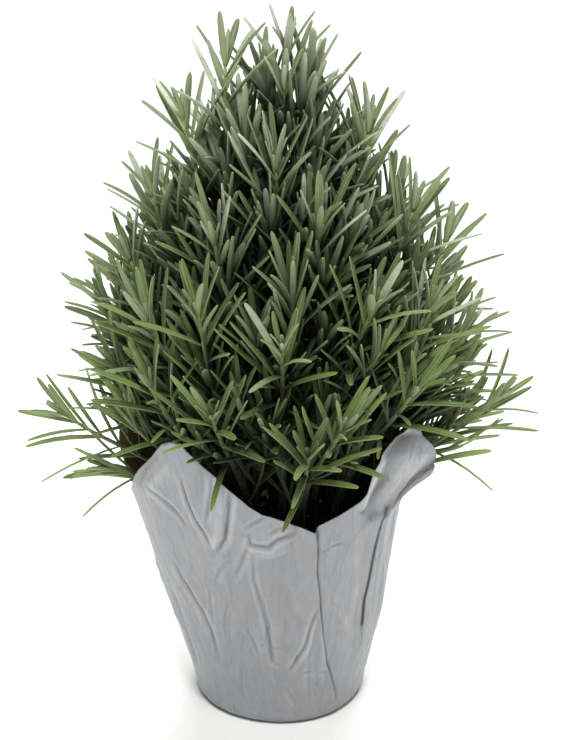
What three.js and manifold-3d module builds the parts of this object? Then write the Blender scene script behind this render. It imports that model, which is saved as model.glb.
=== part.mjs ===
// Potted lavender: a young, flowerless pyramid of leafy stems, rooted in dark potting soil in an 11 cm
// nursery pot, which stands in a paper wrap. The wrap is pressed from a square sheet, so its skirt rises
// into four corners. It was slid on by hand, so it leans a little to the left.
//
// Millimetres, +Z up, and -Y is the front. The origin is the middle of the wrap's flat bottom.
import * as THREE from "three";
import { mergeVertices } from "three/addons/utils/BufferGeometryUtils.js";
import Module from "manifold-3d";

const wasm = await Module();
wasm.setup();

// ---- Driving dimensions ----

const SEAT_GAP = 0.3; // between pieces that rest on or in each other

const POT = {
  rimRadius: 55, // an 11 cm pot
  height: 98,
  baseRadius: 38.5,
  wall: 1.2,
  rimHeight: 9,
  rimStep: 3.2, // how far the rim stands out from the wall under it
  chamfer: 5,
  drainRadius: 4,
  drainReach: 23, // of the drain holes from the middle of the floor
  drains: 5,
  segments: 28,
};

const SOIL = {
  edgeBelowRim: 10,
  crown: 3, // how much higher the middle is than the edge
  domeReach: 33, // where the dome bends down to the edge
  holeDepth: 14,
};

const WRAP = {
  thickness: 0.8,
  floorRadius: 39,
  roundHeight: 8, // of the soft bottom edge
  wallRadiusAtFloor: 44.2, // the straight wall, carried down to the floor
  taper: 0.21, // what the wall's radius grows for each mm of height
  drift: -0.07, // how far the wrap's middle leans to -X for each mm of height
  neckHeight: 104, // the skirt starts here, just above the pot's rim
  pleats: [
    // lobes round the wall, their depth at the neck, and where they start
    { lobes: 9, depth: 0.7, phase: 40 },
    { lobes: 13, depth: 0.5, phase: 115 },
  ],
  widestColumn: 12, // degrees between the mesh's columns
  skirtRows: [0.35, 0.7, 1], // the mesh's rows above the neck, as shares of the way up to the edge
};

// The skirt's edge: azimuth from +X in degrees, height, and how far it stands out from the wall's line.
const SKIRT_EDGE = [
  { azimuth: -172, height: 118, flare: 0 }, // left valley
  { azimuth: -160, height: 123, flare: 0 },
  { azimuth: -127, height: 163, flare: 0 }, // front left corner, which is blunt
  { azimuth: -117, height: 165, flare: -1 },
  { azimuth: -97, height: 133, flare: -2 },
  { azimuth: -70, height: 117, flare: -1 }, // front valley
  { azimuth: -51, height: 128, flare: 1 },
  { azimuth: -38, height: 168, flare: 13 }, // front right corner, which curls out
  { azimuth: -26, height: 143, flare: 21 },
  { azimuth: -12, height: 122, flare: 9 },
  { azimuth: 4, height: 116, flare: 3 }, // right valley
  { azimuth: 28, height: 136, flare: 5 },
  { azimuth: 45, height: 152, flare: 8 }, // back right corner
  { azimuth: 62, height: 134, flare: 4 },
  { azimuth: 90, height: 116, flare: 1 }, // back valley
  { azimuth: 118, height: 134, flare: 4 },
  { azimuth: 140, height: 151, flare: 8 }, // back left corner
  { azimuth: 156, height: 140, flare: 9 },
  { azimuth: 172, height: 124, flare: 4 },
];

// Where each leafy stem ends: azimuth from +X in degrees, reach from the axis and height, tier by tier.
const STEM_TIPS = [
  // the twin peak
  [-60, 5, 338], [-174, 27, 333], [50, 20, 322],
  // the shoulders
  [-174, 47, 308], [-7, 42, 301], [-95, 35, 290], [95, 32, 304], [140, 44, 288],
  // the upper middle
  [-71, 53, 262], [-171, 63, 271], [-120, 62, 258], [-17, 66, 266],
  [58, 52, 274], [22, 60, 258], [103, 64, 256], [150, 68, 252],
  // the middle
  [-166, 76, 241], [-139, 84, 222], [-118, 82, 232], [-90, 86, 219], [-58, 80, 233], [-4, 80, 246],
  [-34, 84, 226], [76, 84, 234], [42, 82, 230], [128, 84, 230],
  // the wide lower middle
  [180, 88, 214], [-17, 92, 206], [-111, 90, 184], [-73, 94, 180], [-47, 92, 192], [-158, 86, 190],
  [-132, 92, 194], [98, 92, 196], [18, 90, 200], [156, 88, 206], [62, 94, 188],
  // the sprays that arch out over the skirt's valleys
  [-173, 108, 158], [-12, 106, 168], [-82, 87, 165], [-166, 86, 132],
  [138, 98, 178], [92, 98, 154], [28, 98, 164],
];

const STEM = {
  rootRadius: 1.7,
  tipRadius: 0.8,
  steps: 5,
  rootReach: 5, // where an upright stem of no reach leaves the soil
  rootSpread: 0.27, // what each mm of reach adds to that
  rootLow: 12, // and what a stem that ends level adds
  rise: 0.4, // the share of its way that it starts straight up
  settle: 0.35, // and that it ends along its own lean
  lowestHeight: 120, // a tip at this height would lie level
  topHeight: 350, // and one at this height would stand upright
  straighten: 0.45, // how soon between them the tips turn up
  stray: 6, // how far a tip's lean strays from that, in degrees
  sway: 4,
  twist: 20, // how far the square stem is turned about its own line, in degrees
};

// Leaves stand in opposite pairs, each pair a quarter turn round from the next, the oldest lowest.
const LEAF_PAIRS = [
  // distance below the stem's tip, length, and how far the leaf leans out from the stem in degrees
  { below: 1, length: 25, spread: 14 },
  { below: 6, length: 32, spread: 20 },
  { below: 13, length: 37, spread: 27 },
  { below: 21, length: 41, spread: 33 },
  { below: 31, length: 42, spread: 40 },
  { below: 42, length: 38, spread: 47 },
];

const LEAF = {
  width: 4.4,
  depth: 1.3, // from the flat upper face to the keel
  curl: 14, // degrees that it bends outward along its length
  droop: 0.1, // how much it sags, as a share of its length
  sunk: 1.8, // how much of it is inside the stem
  // along the leaf, and the share of its full width and depth there; both its ends are points
  outline: [[0.2, 0.8], [0.76, 1]],
};

// What is tried for a leaf that would cross a neighbour: degrees round the stem, and closer in to it.
const WAYS_CLEAR = [[0, 0], [18, 0], [-18, 0], [34, 0], [-34, 0], [0, 12], [20, 12], [-20, 12]];

const CLEARANCE = 0.35; // between leaves of different stems
const SEED = 20417;

const COLOURS = {
  leaf: 0x6b7a58,
  paper: 0xa3a4a6,
  plastic: 0x17181a,
  soil: 0x1e1712,
};

// ---- Small tools ----

const radians = THREE.MathUtils.degToRad;
const lerp = THREE.MathUtils.lerp;
const point = (x, y, z) => new THREE.Vector3(x, y, z);

// A number from 0 to 1 that depends only on the seed and the keys.
function draw(...keys) {
  let h = SEED;
  for (const key of keys) {
    h = Math.imul(h ^ (key + 0x9e37), 0x85ebca6b);
    h ^= h >>> 13;
    h = Math.imul(h, 0xc2b2ae35);
    h ^= h >>> 16;
  }
  return (h >>> 0) / 2 ** 32;
}

// The same, spread evenly from -size to size.
const jitter = (size, ...keys) => (2 * draw(...keys) - 1) * size;

function solidOf(geometry) {
  const bare = geometry.clone();
  bare.deleteAttribute("normal");
  bare.deleteAttribute("uv");
  const merged = mergeVertices(bare, 1e-4);
  return new wasm.Manifold(new wasm.Mesh({
    numProp: 3,
    vertProperties: merged.attributes.position.array,
    triVerts: new Uint32Array(merged.index.array),
  }));
}

function geometryOf(solid) {
  const mesh = solid.getMesh();
  return new THREE.BufferGeometry()
    .setAttribute("position", new THREE.BufferAttribute(mesh.vertProperties, 3))
    .setIndex(new THREE.BufferAttribute(mesh.triVerts, 1));
}

function geometryFrom(points, faces) {
  return new THREE.BufferGeometry()
    .setAttribute("position", new THREE.Float32BufferAttribute(points.flatMap((p) => p.toArray()), 3))
    .setIndex(faces);
}

// A closed tube through rings of points, all with the same count. It ends in flat faces, or in a point
// where its first or last ring is a single point.
function tubeThrough(rings) {
  const points = rings.flat();
  const faces = [];
  const sides = rings[1].length;
  let start = 0;
  for (let ring = 0; ring < rings.length - 1; ring += 1) {
    const next = start + rings[ring].length;
    for (let side = 0; side < sides; side += 1) {
      const turn = (side + 1) % sides;
      if (rings[ring].length === 1) faces.push(start, next + turn, next + side);
      else if (rings[ring + 1].length === 1) faces.push(start + side, start + turn, next);
      else faces.push(start + side, start + turn, next + turn, start + side, next + turn, next + side);
    }
    start = next;
  }
  const last = rings.at(-1).length > 1 ? start : undefined;
  for (let side = 1; side < sides - 1; side += 1) {
    if (rings[0].length > 1) faces.push(0, side + 1, side);
    if (last !== undefined) faces.push(last, last + side, last + side + 1);
  }
  return geometryFrom(points, faces);
}

// ---- Nursery pot and soil ----

const potFloor = WRAP.thickness + SEAT_GAP;
const potTop = potFloor + POT.height;
const soilEdge = potTop - SOIL.edgeBelowRim;
const soilFloor = potFloor + POT.wall + SEAT_GAP;

// A profile of radii and heights, turned about the upright axis.
function turned(profile) {
  const outline = profile.map(([radius, z]) => new THREE.Vector2(radius, z));
  return new THREE.LatheGeometry(outline, POT.segments).rotateX(Math.PI / 2);
}

// The pot's outside radius on its tapered wall, below the rim.
function potWallRadius(z) {
  const wallTop = POT.rimRadius - POT.rimStep;
  return lerp(POT.baseRadius, wallTop, (z - potFloor) / (POT.height - POT.rimHeight));
}

function potSolid() {
  const rimBottom = potTop - POT.rimHeight;
  const inner = (z) => potWallRadius(z) - POT.wall;
  const profile = [
    [0, potFloor],
    [POT.baseRadius - POT.chamfer / 2, potFloor],
    [potWallRadius(potFloor + POT.chamfer), potFloor + POT.chamfer],
    [potWallRadius(rimBottom), rimBottom],
    [POT.rimRadius, rimBottom],
    [POT.rimRadius, potTop],
    [POT.rimRadius - POT.wall, potTop],
    [POT.rimRadius - POT.wall, rimBottom + POT.wall],
    [inner(rimBottom + POT.wall), rimBottom + POT.wall],
    [inner(potFloor + POT.chamfer), potFloor + POT.chamfer],
    [POT.baseRadius - POT.chamfer / 2 - POT.wall, potFloor + POT.wall],
    [0, potFloor + POT.wall],
  ];
  let pot = solidOf(turned(profile));
  for (let drain = 0; drain < POT.drains; drain += 1) {
    const turn = (drain / POT.drains) * 2 * Math.PI;
    const drill = new THREE.CylinderGeometry(POT.drainRadius, POT.drainRadius, 3 * POT.wall, 8)
      .rotateX(Math.PI / 2)
      .translate(POT.drainReach * Math.cos(turn), POT.drainReach * Math.sin(turn), potFloor);
    pot = pot.subtract(solidOf(drill));
  }
  return pot;
}

// The soil's surface is a low dome.
const soilHeight = (reach) => soilEdge + SOIL.crown * (1 - (reach / POT.rimRadius) ** 2);

function soilSolid(stems) {
  const clear = POT.wall + SEAT_GAP;
  const profile = [
    [0, soilFloor],
    [POT.baseRadius - POT.chamfer / 2 - clear - 1, soilFloor],
    [potWallRadius(potFloor + POT.chamfer) - clear, potFloor + POT.chamfer],
    [potWallRadius(soilEdge) - clear, soilEdge],
    [SOIL.domeReach, soilHeight(SOIL.domeReach)],
    [0, soilHeight(0)],
  ];
  let soil = solidOf(turned(profile));
  for (const stem of stems) soil = soil.subtract(solidOf(rootHole(stem)));
  return soil;
}

// ---- Paper wrap ----

// Height and flare of the skirt's edge at an azimuth, straight between the listed points.
function skirtEdge(azimuth) {
  const from = SKIRT_EDGE[0].azimuth;
  const at = ((((azimuth - from) % 360) + 360) % 360) + from;
  const last = { ...SKIRT_EDGE[0], azimuth: from + 360 };
  const points = [...SKIRT_EDGE, last];
  const next = points.findIndex((p, i) => i > 0 && p.azimuth >= at);
  const a = points[next - 1];
  const b = points[next];
  const share = (at - a.azimuth) / (b.azimuth - a.azimuth);
  return { height: lerp(a.height, b.height, share), flare: lerp(a.flare, b.flare, share) };
}

// The wrap's outside radius, measured from its own middle at that height.
function wrapRadius(azimuth, z) {
  if (z < WRAP.roundHeight) {
    const full = WRAP.wallRadiusAtFloor + WRAP.taper * WRAP.roundHeight;
    const down = 1 - z / WRAP.roundHeight;
    return WRAP.floorRadius + (full - WRAP.floorRadius) * Math.sqrt(1 - down * down);
  }
  const edge = skirtEdge(azimuth);
  const up = Math.max(0, (z - WRAP.neckHeight) / (edge.height - WRAP.neckHeight));
  const share = (z - WRAP.roundHeight) / (WRAP.neckHeight - WRAP.roundHeight);
  const pleats = WRAP.pleats.map((p) => p.depth * Math.sin(radians(p.lobes * azimuth + p.phase)));
  const fold = share * pleats.reduce((sum, depth) => sum + depth, 0);
  return WRAP.wallRadiusAtFloor + WRAP.taper * z + fold + edge.flare * up * up;
}

const wrapMiddle = (z) => WRAP.drift * Math.max(0, z - WRAP.roundHeight);

function wrapPoint(azimuth, z, inset) {
  const radius = wrapRadius(azimuth, z) - inset;
  return point(wrapMiddle(z) + radius * Math.cos(radians(azimuth)), radius * Math.sin(radians(azimuth)), z);
}

// The columns of the wrap's mesh: every listed point of the edge, and even steps between them.
function wrapColumns() {
  return SKIRT_EDGE.flatMap((from, i) => {
    const to = i + 1 < SKIRT_EDGE.length ? SKIRT_EDGE[i + 1].azimuth : SKIRT_EDGE[0].azimuth + 360;
    const count = Math.ceil((to - from.azimuth) / WRAP.widestColumn);
    return Array.from({ length: count }, (_, n) => lerp(from.azimuth, to, n / count));
  });
}

function wrapGeometry() {
  const columns = wrapColumns();
  const { roundHeight, neckHeight, thickness } = WRAP;
  const wall = [0, 0.3 * roundHeight, ...[0, 1, 2, 3].map((row) => lerp(roundHeight, neckHeight, row / 3))];
  const face = (inset, floor) => columns.map((azimuth) => {
    const edge = skirtEdge(azimuth).height;
    const heights = [
      ...wall.map((z) => Math.max(z, floor)),
      ...WRAP.skirtRows.map((share) => lerp(neckHeight, edge, share)),
    ];
    return heights.map((z, level) => wrapPoint(azimuth, level === 0 ? 0 : z, inset).setZ(z));
  });
  const levels = wall.length + WRAP.skirtRows.length;
  const count = columns.length * levels;
  const points = [...face(0, 0).flat(), ...face(thickness, thickness).flat()];
  points.push(point(0, 0, 0), point(0, 0, thickness));
  const faces = [];
  columns.forEach((_, column) => {
    const a = column * levels;
    const b = ((column + 1) % columns.length) * levels;
    for (let i = 0; i < levels - 1; i += 1) {
      faces.push(a + i, b + i, b + i + 1, a + i, b + i + 1, a + i + 1);
      faces.push(count + a + i, count + b + i + 1, count + b + i);
      faces.push(count + a + i, count + a + i + 1, count + b + i + 1);
    }
    const top = levels - 1;
    faces.push(a + top, b + top, count + b + top, a + top, count + b + top, count + a + top);
    faces.push(2 * count, b, a, 2 * count + 1, count + a, count + b);
  });
  return geometryFrom(points, faces);
}

// Whether a point lies within a distance of the wrap's paper.
function nearWrap(p, distance) {
  const x = p.x - wrapMiddle(p.z);
  const azimuth = THREE.MathUtils.radToDeg(Math.atan2(p.y, x));
  const above = p.z - skirtEdge(azimuth).height;
  const height = Math.min(p.z, skirtEdge(azimuth).height);
  return above < distance && Math.abs(Math.hypot(x, p.y) - wrapRadius(azimuth, height)) < distance;
}

// ---- Leafy stems ----

// A stem grows in the upright plane through the axis at its azimuth, with a little sway out of it.
function stemOf([azimuth, reach, height], index) {
  const turn = radians(azimuth);
  const outward = point(Math.cos(turn), Math.sin(turn), 0);
  const across = point(-Math.sin(turn), Math.cos(turn), 0);
  const upright = ((height - STEM.lowestHeight) / (STEM.topHeight - STEM.lowestHeight)) ** STEM.straighten;
  const lean = radians(90 * (1 - upright) + jitter(STEM.stray, index, 1));
  const rootReach = STEM.rootReach + STEM.rootSpread * reach + STEM.rootLow * (1 - upright);
  const root = outward.clone().multiplyScalar(rootReach).setZ(soilHeight(rootReach));
  const tip = outward.clone().multiplyScalar(reach).setZ(height);
  const way = tip.distanceTo(root);
  const heading = outward.clone().multiplyScalar(Math.sin(lean)).setZ(Math.cos(lean));
  const line = new THREE.CubicBezierCurve3(
    root,
    root.clone().add(point(0, 0, STEM.rise * way)),
    tip.clone().addScaledVector(heading, -STEM.settle * way),
    tip,
  );
  const sway = jitter(STEM.sway, index, 2);
  const twist = radians(jitter(STEM.twist, index, 3));
  return { index, outward, across, root, line, length: line.getLength(), sway, twist };
}

function stemPoint(stem, share) {
  return stem.line.getPoint(share).addScaledVector(stem.across, stem.sway * Math.sin(Math.PI * share));
}

// Where a stem is, its direction, and the two directions across it.
function stemFrame(stem, share) {
  const step = 0.01;
  const ahead = stemPoint(stem, Math.min(1, share + step));
  const along = ahead.sub(stemPoint(stem, Math.max(0, share - step))).normalize();
  const out = stem.across.clone().cross(along).normalize().applyAxisAngle(along, stem.twist);
  return { at: stemPoint(stem, share), along, out, side: along.clone().cross(out) };
}

// Lavender stems are square.
function squareRing(frame, radius) {
  return [
    frame.at.clone().addScaledVector(frame.out, radius),
    frame.at.clone().addScaledVector(frame.side, radius),
    frame.at.clone().addScaledVector(frame.out, -radius),
    frame.at.clone().addScaledVector(frame.side, -radius),
  ];
}

// The upright stretch of a stem or of its hole in the soil, square like the stem.
function rootRing(stem, z, radius) {
  const up = point(0, 0, 1);
  const out = stem.outward.clone().applyAxisAngle(up, stem.twist);
  return squareRing({ at: stem.root.clone().setZ(z), out, side: up.cross(out) }, radius);
}

function rootHole(stem) {
  const bottom = soilEdge - SOIL.holeDepth - SEAT_GAP;
  const radius = STEM.rootRadius + SEAT_GAP * Math.SQRT2;
  return tubeThrough([rootRing(stem, bottom, radius), rootRing(stem, potTop, radius)]);
}

function stemGeometry(stem) {
  const rings = [rootRing(stem, soilEdge - SOIL.holeDepth, STEM.rootRadius)];
  rings.push(rootRing(stem, stem.root.z + 1, STEM.rootRadius));
  for (let step = 1; step <= STEM.steps; step += 1) {
    const share = step / STEM.steps;
    rings.push(squareRing(stemFrame(stem, share), lerp(STEM.rootRadius, STEM.tipRadius, share)));
  }
  return tubeThrough(rings);
}

// One leaf of a pair: its spine, from its root inside the stem, and the directions of its blade.
function leafOf(stem, pair, side, [moved, closer]) {
  const rule = LEAF_PAIRS[pair];
  const key = 10 + 2 * pair + side;
  const turn = radians(90 * pair + 180 * side + 45 + jitter(12, stem.index, key, 1) + moved);
  const spread = radians(rule.spread + jitter(6, stem.index, key, 2) - closer);
  const length = rule.length * (1 + jitter(0.12, stem.index, key, 3));
  const frame = stemFrame(stem, 1 - rule.below / stem.length);
  const away = frame.out.multiplyScalar(Math.cos(turn)).addScaledVector(frame.side, Math.sin(turn));
  const { along } = frame;
  const heading = along.clone().multiplyScalar(Math.cos(spread)).addScaledVector(away, Math.sin(spread));
  const across = along.clone().cross(away).normalize();
  const upper = heading.clone().cross(across);
  const bend = radians(LEAF.curl + jitter(10, stem.index, key, 4)) * length;
  const sag = LEAF.droop * length * (1 - heading.z);
  const depth = Math.min(1.2 * STEM.tipRadius, LEAF.sunk * Math.sin(spread));
  const root = frame.at.addScaledVector(away, 0.7 * STEM.tipRadius - depth);
  const spine = (u) => root.clone()
    .addScaledVector(heading, length * u)
    .addScaledVector(upper, -0.5 * bend * u * u)
    .add(point(0, 0, -sag * u * u));
  return { spine, across, upper, width: LEAF.width * (1 + jitter(0.1, stem.index, key, 5)) };
}

// A blade with a flat upper face, a keel below and a pointed tip.
function leafGeometry(leaf) {
  const rings = LEAF.outline.map(([u, share]) => {
    const middle = leaf.spine(u);
    const half = (leaf.width * share) / 2;
    return [
      middle.clone().addScaledVector(leaf.across, half),
      middle.clone().addScaledVector(leaf.across, -half),
      middle.clone().addScaledVector(leaf.upper, -LEAF.depth * share),
    ];
  });
  return tubeThrough([[leaf.spine(0)], ...rings, [leaf.spine(1)]]);
}

// ---- Keeping stems and leaves out of each other ----

// A track is the line that a stem or leaf follows, and how far it reaches to each side of it.
function leafTrack(leaf, owner) {
  const points = [0.05, 0.35, 0.7, 1].map(leaf.spine);
  return { owner, points, radius: leaf.width / 2 };
}

function stemTrack(stem) {
  const points = Array.from({ length: 9 }, (_, i) => stemPoint(stem, i / 8));
  return { owner: stem.index, points, radius: STEM.rootRadius };
}

// The shortest distance between segments a-b and c-d.
function segmentGap(a, b, c, d) {
  const u = b.clone().sub(a);
  const v = d.clone().sub(c);
  const w = a.clone().sub(c);
  const uu = u.dot(u);
  const uv = u.dot(v);
  const vv = v.dot(v);
  const uw = u.dot(w);
  const vw = v.dot(w);
  const spread = uu * vv - uv * uv;
  let s = spread > 1e-9 ? THREE.MathUtils.clamp((uv * vw - vv * uw) / spread, 0, 1) : 0;
  const t = THREE.MathUtils.clamp((uv * s + vw) / vv, 0, 1);
  s = THREE.MathUtils.clamp((uv * t - uw) / uu, 0, 1);
  return w.addScaledVector(u, s).addScaledVector(v, -t).length();
}

function tracksCross(a, b) {
  const least = a.radius + b.radius + CLEARANCE;
  for (let i = 0; i < a.points.length - 1; i += 1) {
    for (let j = 0; j < b.points.length - 1; j += 1) {
      if (segmentGap(a.points[i], a.points[i + 1], b.points[j], b.points[j + 1]) < least) return true;
    }
  }
  return false;
}

// Whether a leaf stays out of the wrap and the pot, and off every other stem and its leaves.
function isClear(leaf, track, tracks) {
  for (let u = 0.1; u <= 1.001; u += 0.1) {
    const p = leaf.spine(u);
    if (p.z < potTop + track.radius || nearWrap(p, track.radius + 1)) return false;
  }
  return !tracks.some((other) => other.owner !== track.owner && tracksCross(track, other));
}

// The leaves that each stem bears. One that would cross a neighbour is turned clear, or else left out.
function leavesOf(stems) {
  const tracks = stems.map(stemTrack);
  const borne = stems.map(() => []);
  LEAF_PAIRS.forEach((_, pair) => stems.forEach((stem) => [0, 1].forEach((side) => {
    for (const way of WAYS_CLEAR) {
      const leaf = leafOf(stem, pair, side, way);
      const track = leafTrack(leaf, stem.index);
      if (isClear(leaf, track, tracks)) {
        tracks.push(track);
        borne[stem.index].push(leaf);
        return;
      }
    }
  })));
  return borne;
}

// ---- Assembly ----

function named(name, geometry, colour, roughness, metalness = 0) {
  const material = new THREE.MeshStandardMaterial({ color: colour, roughness, metalness });
  const mesh = new THREE.Mesh(geometry, material);
  mesh.name = name;
  return mesh;
}

const stems = STEM_TIPS.map(stemOf);
const leaves = leavesOf(stems);
const plant = new THREE.Group();
stems.forEach((stem, i) => {
  let solid = solidOf(stemGeometry(stem));
  for (const leaf of leaves[i]) solid = solid.add(solidOf(leafGeometry(leaf)));
  plant.add(named(`leafy_stem_${String(i + 1).padStart(2, "0")}`, geometryOf(solid), COLOURS.leaf, 0.75));
});

const lavender = new THREE.Group();
lavender.add(
  named("paper_wrap", wrapGeometry(), COLOURS.paper, 0.45, 0.2),
  named("nursery_pot", geometryOf(potSolid()), COLOURS.plastic, 0.5),
  named("potting_soil", geometryOf(soilSolid(stems)), COLOURS.soil, 0.95),
  plant,
);

export default lavender;
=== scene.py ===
"""Potted lavender: leafy stems, potting soil, nursery pot and paper wrap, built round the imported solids.

Sizes are in millimetres, +Z is up and -Y is the front. Meshes are turned to metres when they are made.
"""

import logging
import math
from dataclasses import dataclass, field
from enum import Enum

import bmesh
import bpy
import numpy as np
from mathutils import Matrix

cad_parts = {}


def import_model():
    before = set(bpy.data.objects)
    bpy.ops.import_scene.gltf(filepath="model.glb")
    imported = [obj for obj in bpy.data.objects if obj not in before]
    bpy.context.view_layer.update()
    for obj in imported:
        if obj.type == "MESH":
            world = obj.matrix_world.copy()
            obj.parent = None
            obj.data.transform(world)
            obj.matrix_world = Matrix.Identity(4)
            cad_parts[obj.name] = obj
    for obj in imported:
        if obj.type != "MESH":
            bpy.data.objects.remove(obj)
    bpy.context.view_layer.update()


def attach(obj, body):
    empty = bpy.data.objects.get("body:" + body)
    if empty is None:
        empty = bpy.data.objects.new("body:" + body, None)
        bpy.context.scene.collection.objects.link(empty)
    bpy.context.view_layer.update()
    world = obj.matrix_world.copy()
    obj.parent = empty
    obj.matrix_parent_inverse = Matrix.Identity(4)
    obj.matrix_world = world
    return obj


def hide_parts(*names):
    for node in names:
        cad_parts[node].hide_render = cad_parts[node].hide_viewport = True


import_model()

logging.basicConfig(level=logging.INFO, format="%(message)s")
log = logging.getLogger("lavender")

Array = np.ndarray
MM = 0.001
SEED = 20417
UP = np.array([0.0, 0.0, 1.0])


# ---- Small tools ----


def linear(colour: str) -> tuple[float, float, float, float]:
    """Turns an sRGB hex colour into Blender's linear colour.

    Args:
        colour: six hex digits after a hash.

    Returns:
        Red, green, blue and an alpha of 1.
    """
    parts = [int(colour[i : i + 2], 16) / 255 for i in (1, 3, 5)]
    return (*(c / 12.92 if c <= 0.04045 else ((c + 0.055) / 1.055) ** 2.4 for c in parts), 1.0)


def draw(*keys: int) -> float:
    """Gives a number that depends only on the seed and the keys.

    Args:
        keys: what it is drawn for.

    Returns:
        A number from 0 to 1.
    """
    h = SEED
    for key in keys:
        h = ((h ^ (key + 0x9E37)) * 0x85EBCA6B) & 0xFFFFFFFF
        h ^= h >> 13
        h = (h * 0xC2B2AE35) & 0xFFFFFFFF
        h ^= h >> 16
    return h / 2**32


def jitter(size: float, *keys: int) -> float:
    """Gives a drawn number spread evenly from -size to size."""
    return (2 * draw(*keys) - 1) * size


def unit(vector: Array) -> Array:
    """Gives the vector at length 1."""
    return vector / np.linalg.norm(vector)


def turned(vector: Array, axis: Array, angle: float) -> Array:
    """Turns a vector about a unit axis.

    Args:
        vector: what is turned.
        axis: a unit vector.
        angle: radians, right-handed.

    Returns:
        The turned vector.
    """
    return (
        vector * math.cos(angle)
        + np.cross(axis, vector) * math.sin(angle)
        + axis * float(np.dot(axis, vector)) * (1 - math.cos(angle))
    )


def around(reach: float, turn: float, z: float = 0.0) -> Array:
    """Gives the point at a reach from the Z axis, a turn about it in radians and a height."""
    return np.array([reach * math.cos(turn), reach * math.sin(turn), z])


def ring(reach: float, z: float | Array, columns: int) -> Array:
    """Gives a level ring of points about the Z axis, anticlockwise from above."""
    turns = np.arange(columns) * 2 * math.pi / columns
    return np.stack([reach * np.cos(turns), reach * np.sin(turns), np.broadcast_to(z, turns.shape)], 1)


def spun(rings: list[Array], first: float, last: float, start: int = 0) -> tuple[Array, list]:
    """Closes rings about the Z axis into a solid form, with a point on the axis at each end.

    Args:
        rings: in order, with the form's surface outward of them as they rise.
        first: the height of the point before the first ring.
        last: the height of the point after the last ring.
        start: the corner that each face is listed from, which decides how it is split into triangles.

    Returns:
        Points and faces, column by column: the faces between the rings, then the two at the ends.
    """
    points = np.concatenate([*rings, [[0, 0, first], [0, 0, last]]])
    count, end = len(rings[0]), (len(rings) - 1) * len(rings[0])
    faces = []
    for i in range(count):
        j = (i + 1) % count
        for low in range(0, end, count):
            corners = (low + i, low + j, low + count + j, low + count + i)
            faces.append(corners[start:] + corners[:start])
        faces.append((end + count, j, i))
        faces.append((end + count + 1, end + i, end + j))
    return points, faces


def tube(rows: Array) -> tuple[Array, list]:
    """Closes a line of rings into a tube with a flat cap at each end.

    Args:
        rows: the rings' points, one ring a row.

    Returns:
        Points and faces.
    """
    rings, count = rows.shape[:2]
    sides = [
        (r * count + i, r * count + (i + 1) % count, (r + 1) * count + (i + 1) % count, (r + 1) * count + i)
        for r in range(rings - 1)
        for i in range(count)
    ]
    caps = [tuple(range(count))[::-1], tuple((rings - 1) * count + i for i in range(count))]
    return rows.reshape(-1, 3), sides + caps


def lattice_noise(x: Array, y: Array, z: Array, cell: float, key: int) -> Array:
    """Gives smooth noise from -1 to 1 at points.

    Args:
        x: first coordinates, in mm.
        y: second coordinates, in mm.
        z: third coordinates, in mm.
        cell: the size of a lump, in mm.
        key: which noise this is.

    Returns:
        A number for each point.
    """
    at = [np.asarray(c, float) / cell for c in (x, y, z)]
    low = [np.floor(c).astype(np.int64) for c in at]
    part = [c - l for c, l in zip(at, low)]
    part = [p * p * (3 - 2 * p) for p in part]
    total = np.zeros(np.broadcast(*at).shape)
    for corner in range(8):
        step = [(corner >> axis) & 1 for axis in range(3)]
        weight = np.ones_like(total)
        for axis in range(3):
            weight = weight * (part[axis] if step[axis] else 1 - part[axis])
        h = (low[0] + step[0]) * 73856093 ^ (low[1] + step[1]) * 19349663 ^ (low[2] + step[2]) * 83492791
        h = (h ^ (key * 2654435761)) & 0xFFFFFFFF
        h = ((h ^ (h >> 15)) * 0x2C1B3C6D) & 0xFFFFFFFF
        h = ((h ^ (h >> 12)) * 0x297A2D39) & 0xFFFFFFFF
        total = total + weight * ((h ^ (h >> 15)) / 2**31 - 1)
    return total


def add_node(
    tree: bpy.types.NodeTree, kind: str, inputs: dict | None = None, **settings: object
) -> bpy.types.Node:
    """Adds a shader node with its settings and links.

    Args:
        tree: the material's node tree.
        kind: the node's type, without the word ShaderNode.
        inputs: what each input takes, by name or place: an output socket to link, or a value.
        settings: the node's own settings.

    Returns:
        The new node.
    """
    made = tree.nodes.new("ShaderNode" + kind)
    for name, value in settings.items():
        setattr(made, name, value)
    for name, value in (inputs or {}).items():
        if isinstance(value, bpy.types.NodeSocket):
            tree.links.new(value, made.inputs[name])
        else:
            made.inputs[name].default_value = value
    return made


def place_object(name: str, data: bpy.types.ID) -> bpy.types.Object:
    """Puts a mesh, light or camera into the scene.

    Args:
        name: the object's name.
        data: the mesh, light or camera.

    Returns:
        The new object.
    """
    made = bpy.data.objects.new(name, data)
    bpy.context.scene.collection.objects.link(made)
    return made


def make_piece(
    name: str,
    form: tuple[Array, list],
    materials: list[bpy.types.Material],
    marks: dict[str, Array] | None = None,
    picks: list | None = None,
) -> bpy.types.Object:
    """Makes a smooth mesh object that rides on the object's one body.

    Args:
        name: the piece's name.
        form: points as an (n, 3) array in mm, and faces as rows of point numbers.
        materials: the piece's materials.
        marks: a number for each point, by the name that its material reads.
        picks: which material each face takes.

    Returns:
        The new object.
    """
    mesh = bpy.data.meshes.new(name)
    mesh.from_pydata((form[0] * MM).tolist(), [], form[1])
    for label, values in (marks or {}).items():
        mesh.attributes.new(label, "FLOAT", "POINT").data.foreach_set("value", values.astype(np.float32))
    for material in materials:
        mesh.materials.append(material)
    mesh.polygons.foreach_set("use_smooth", np.ones(len(mesh.polygons), bool))
    if picks is not None:
        mesh.polygons.foreach_set("material_index", np.array(picks, np.int32))
    mesh.update()
    piece = place_object(name, mesh)
    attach(piece, "root")
    return piece


# ---- Finishes ----


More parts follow.
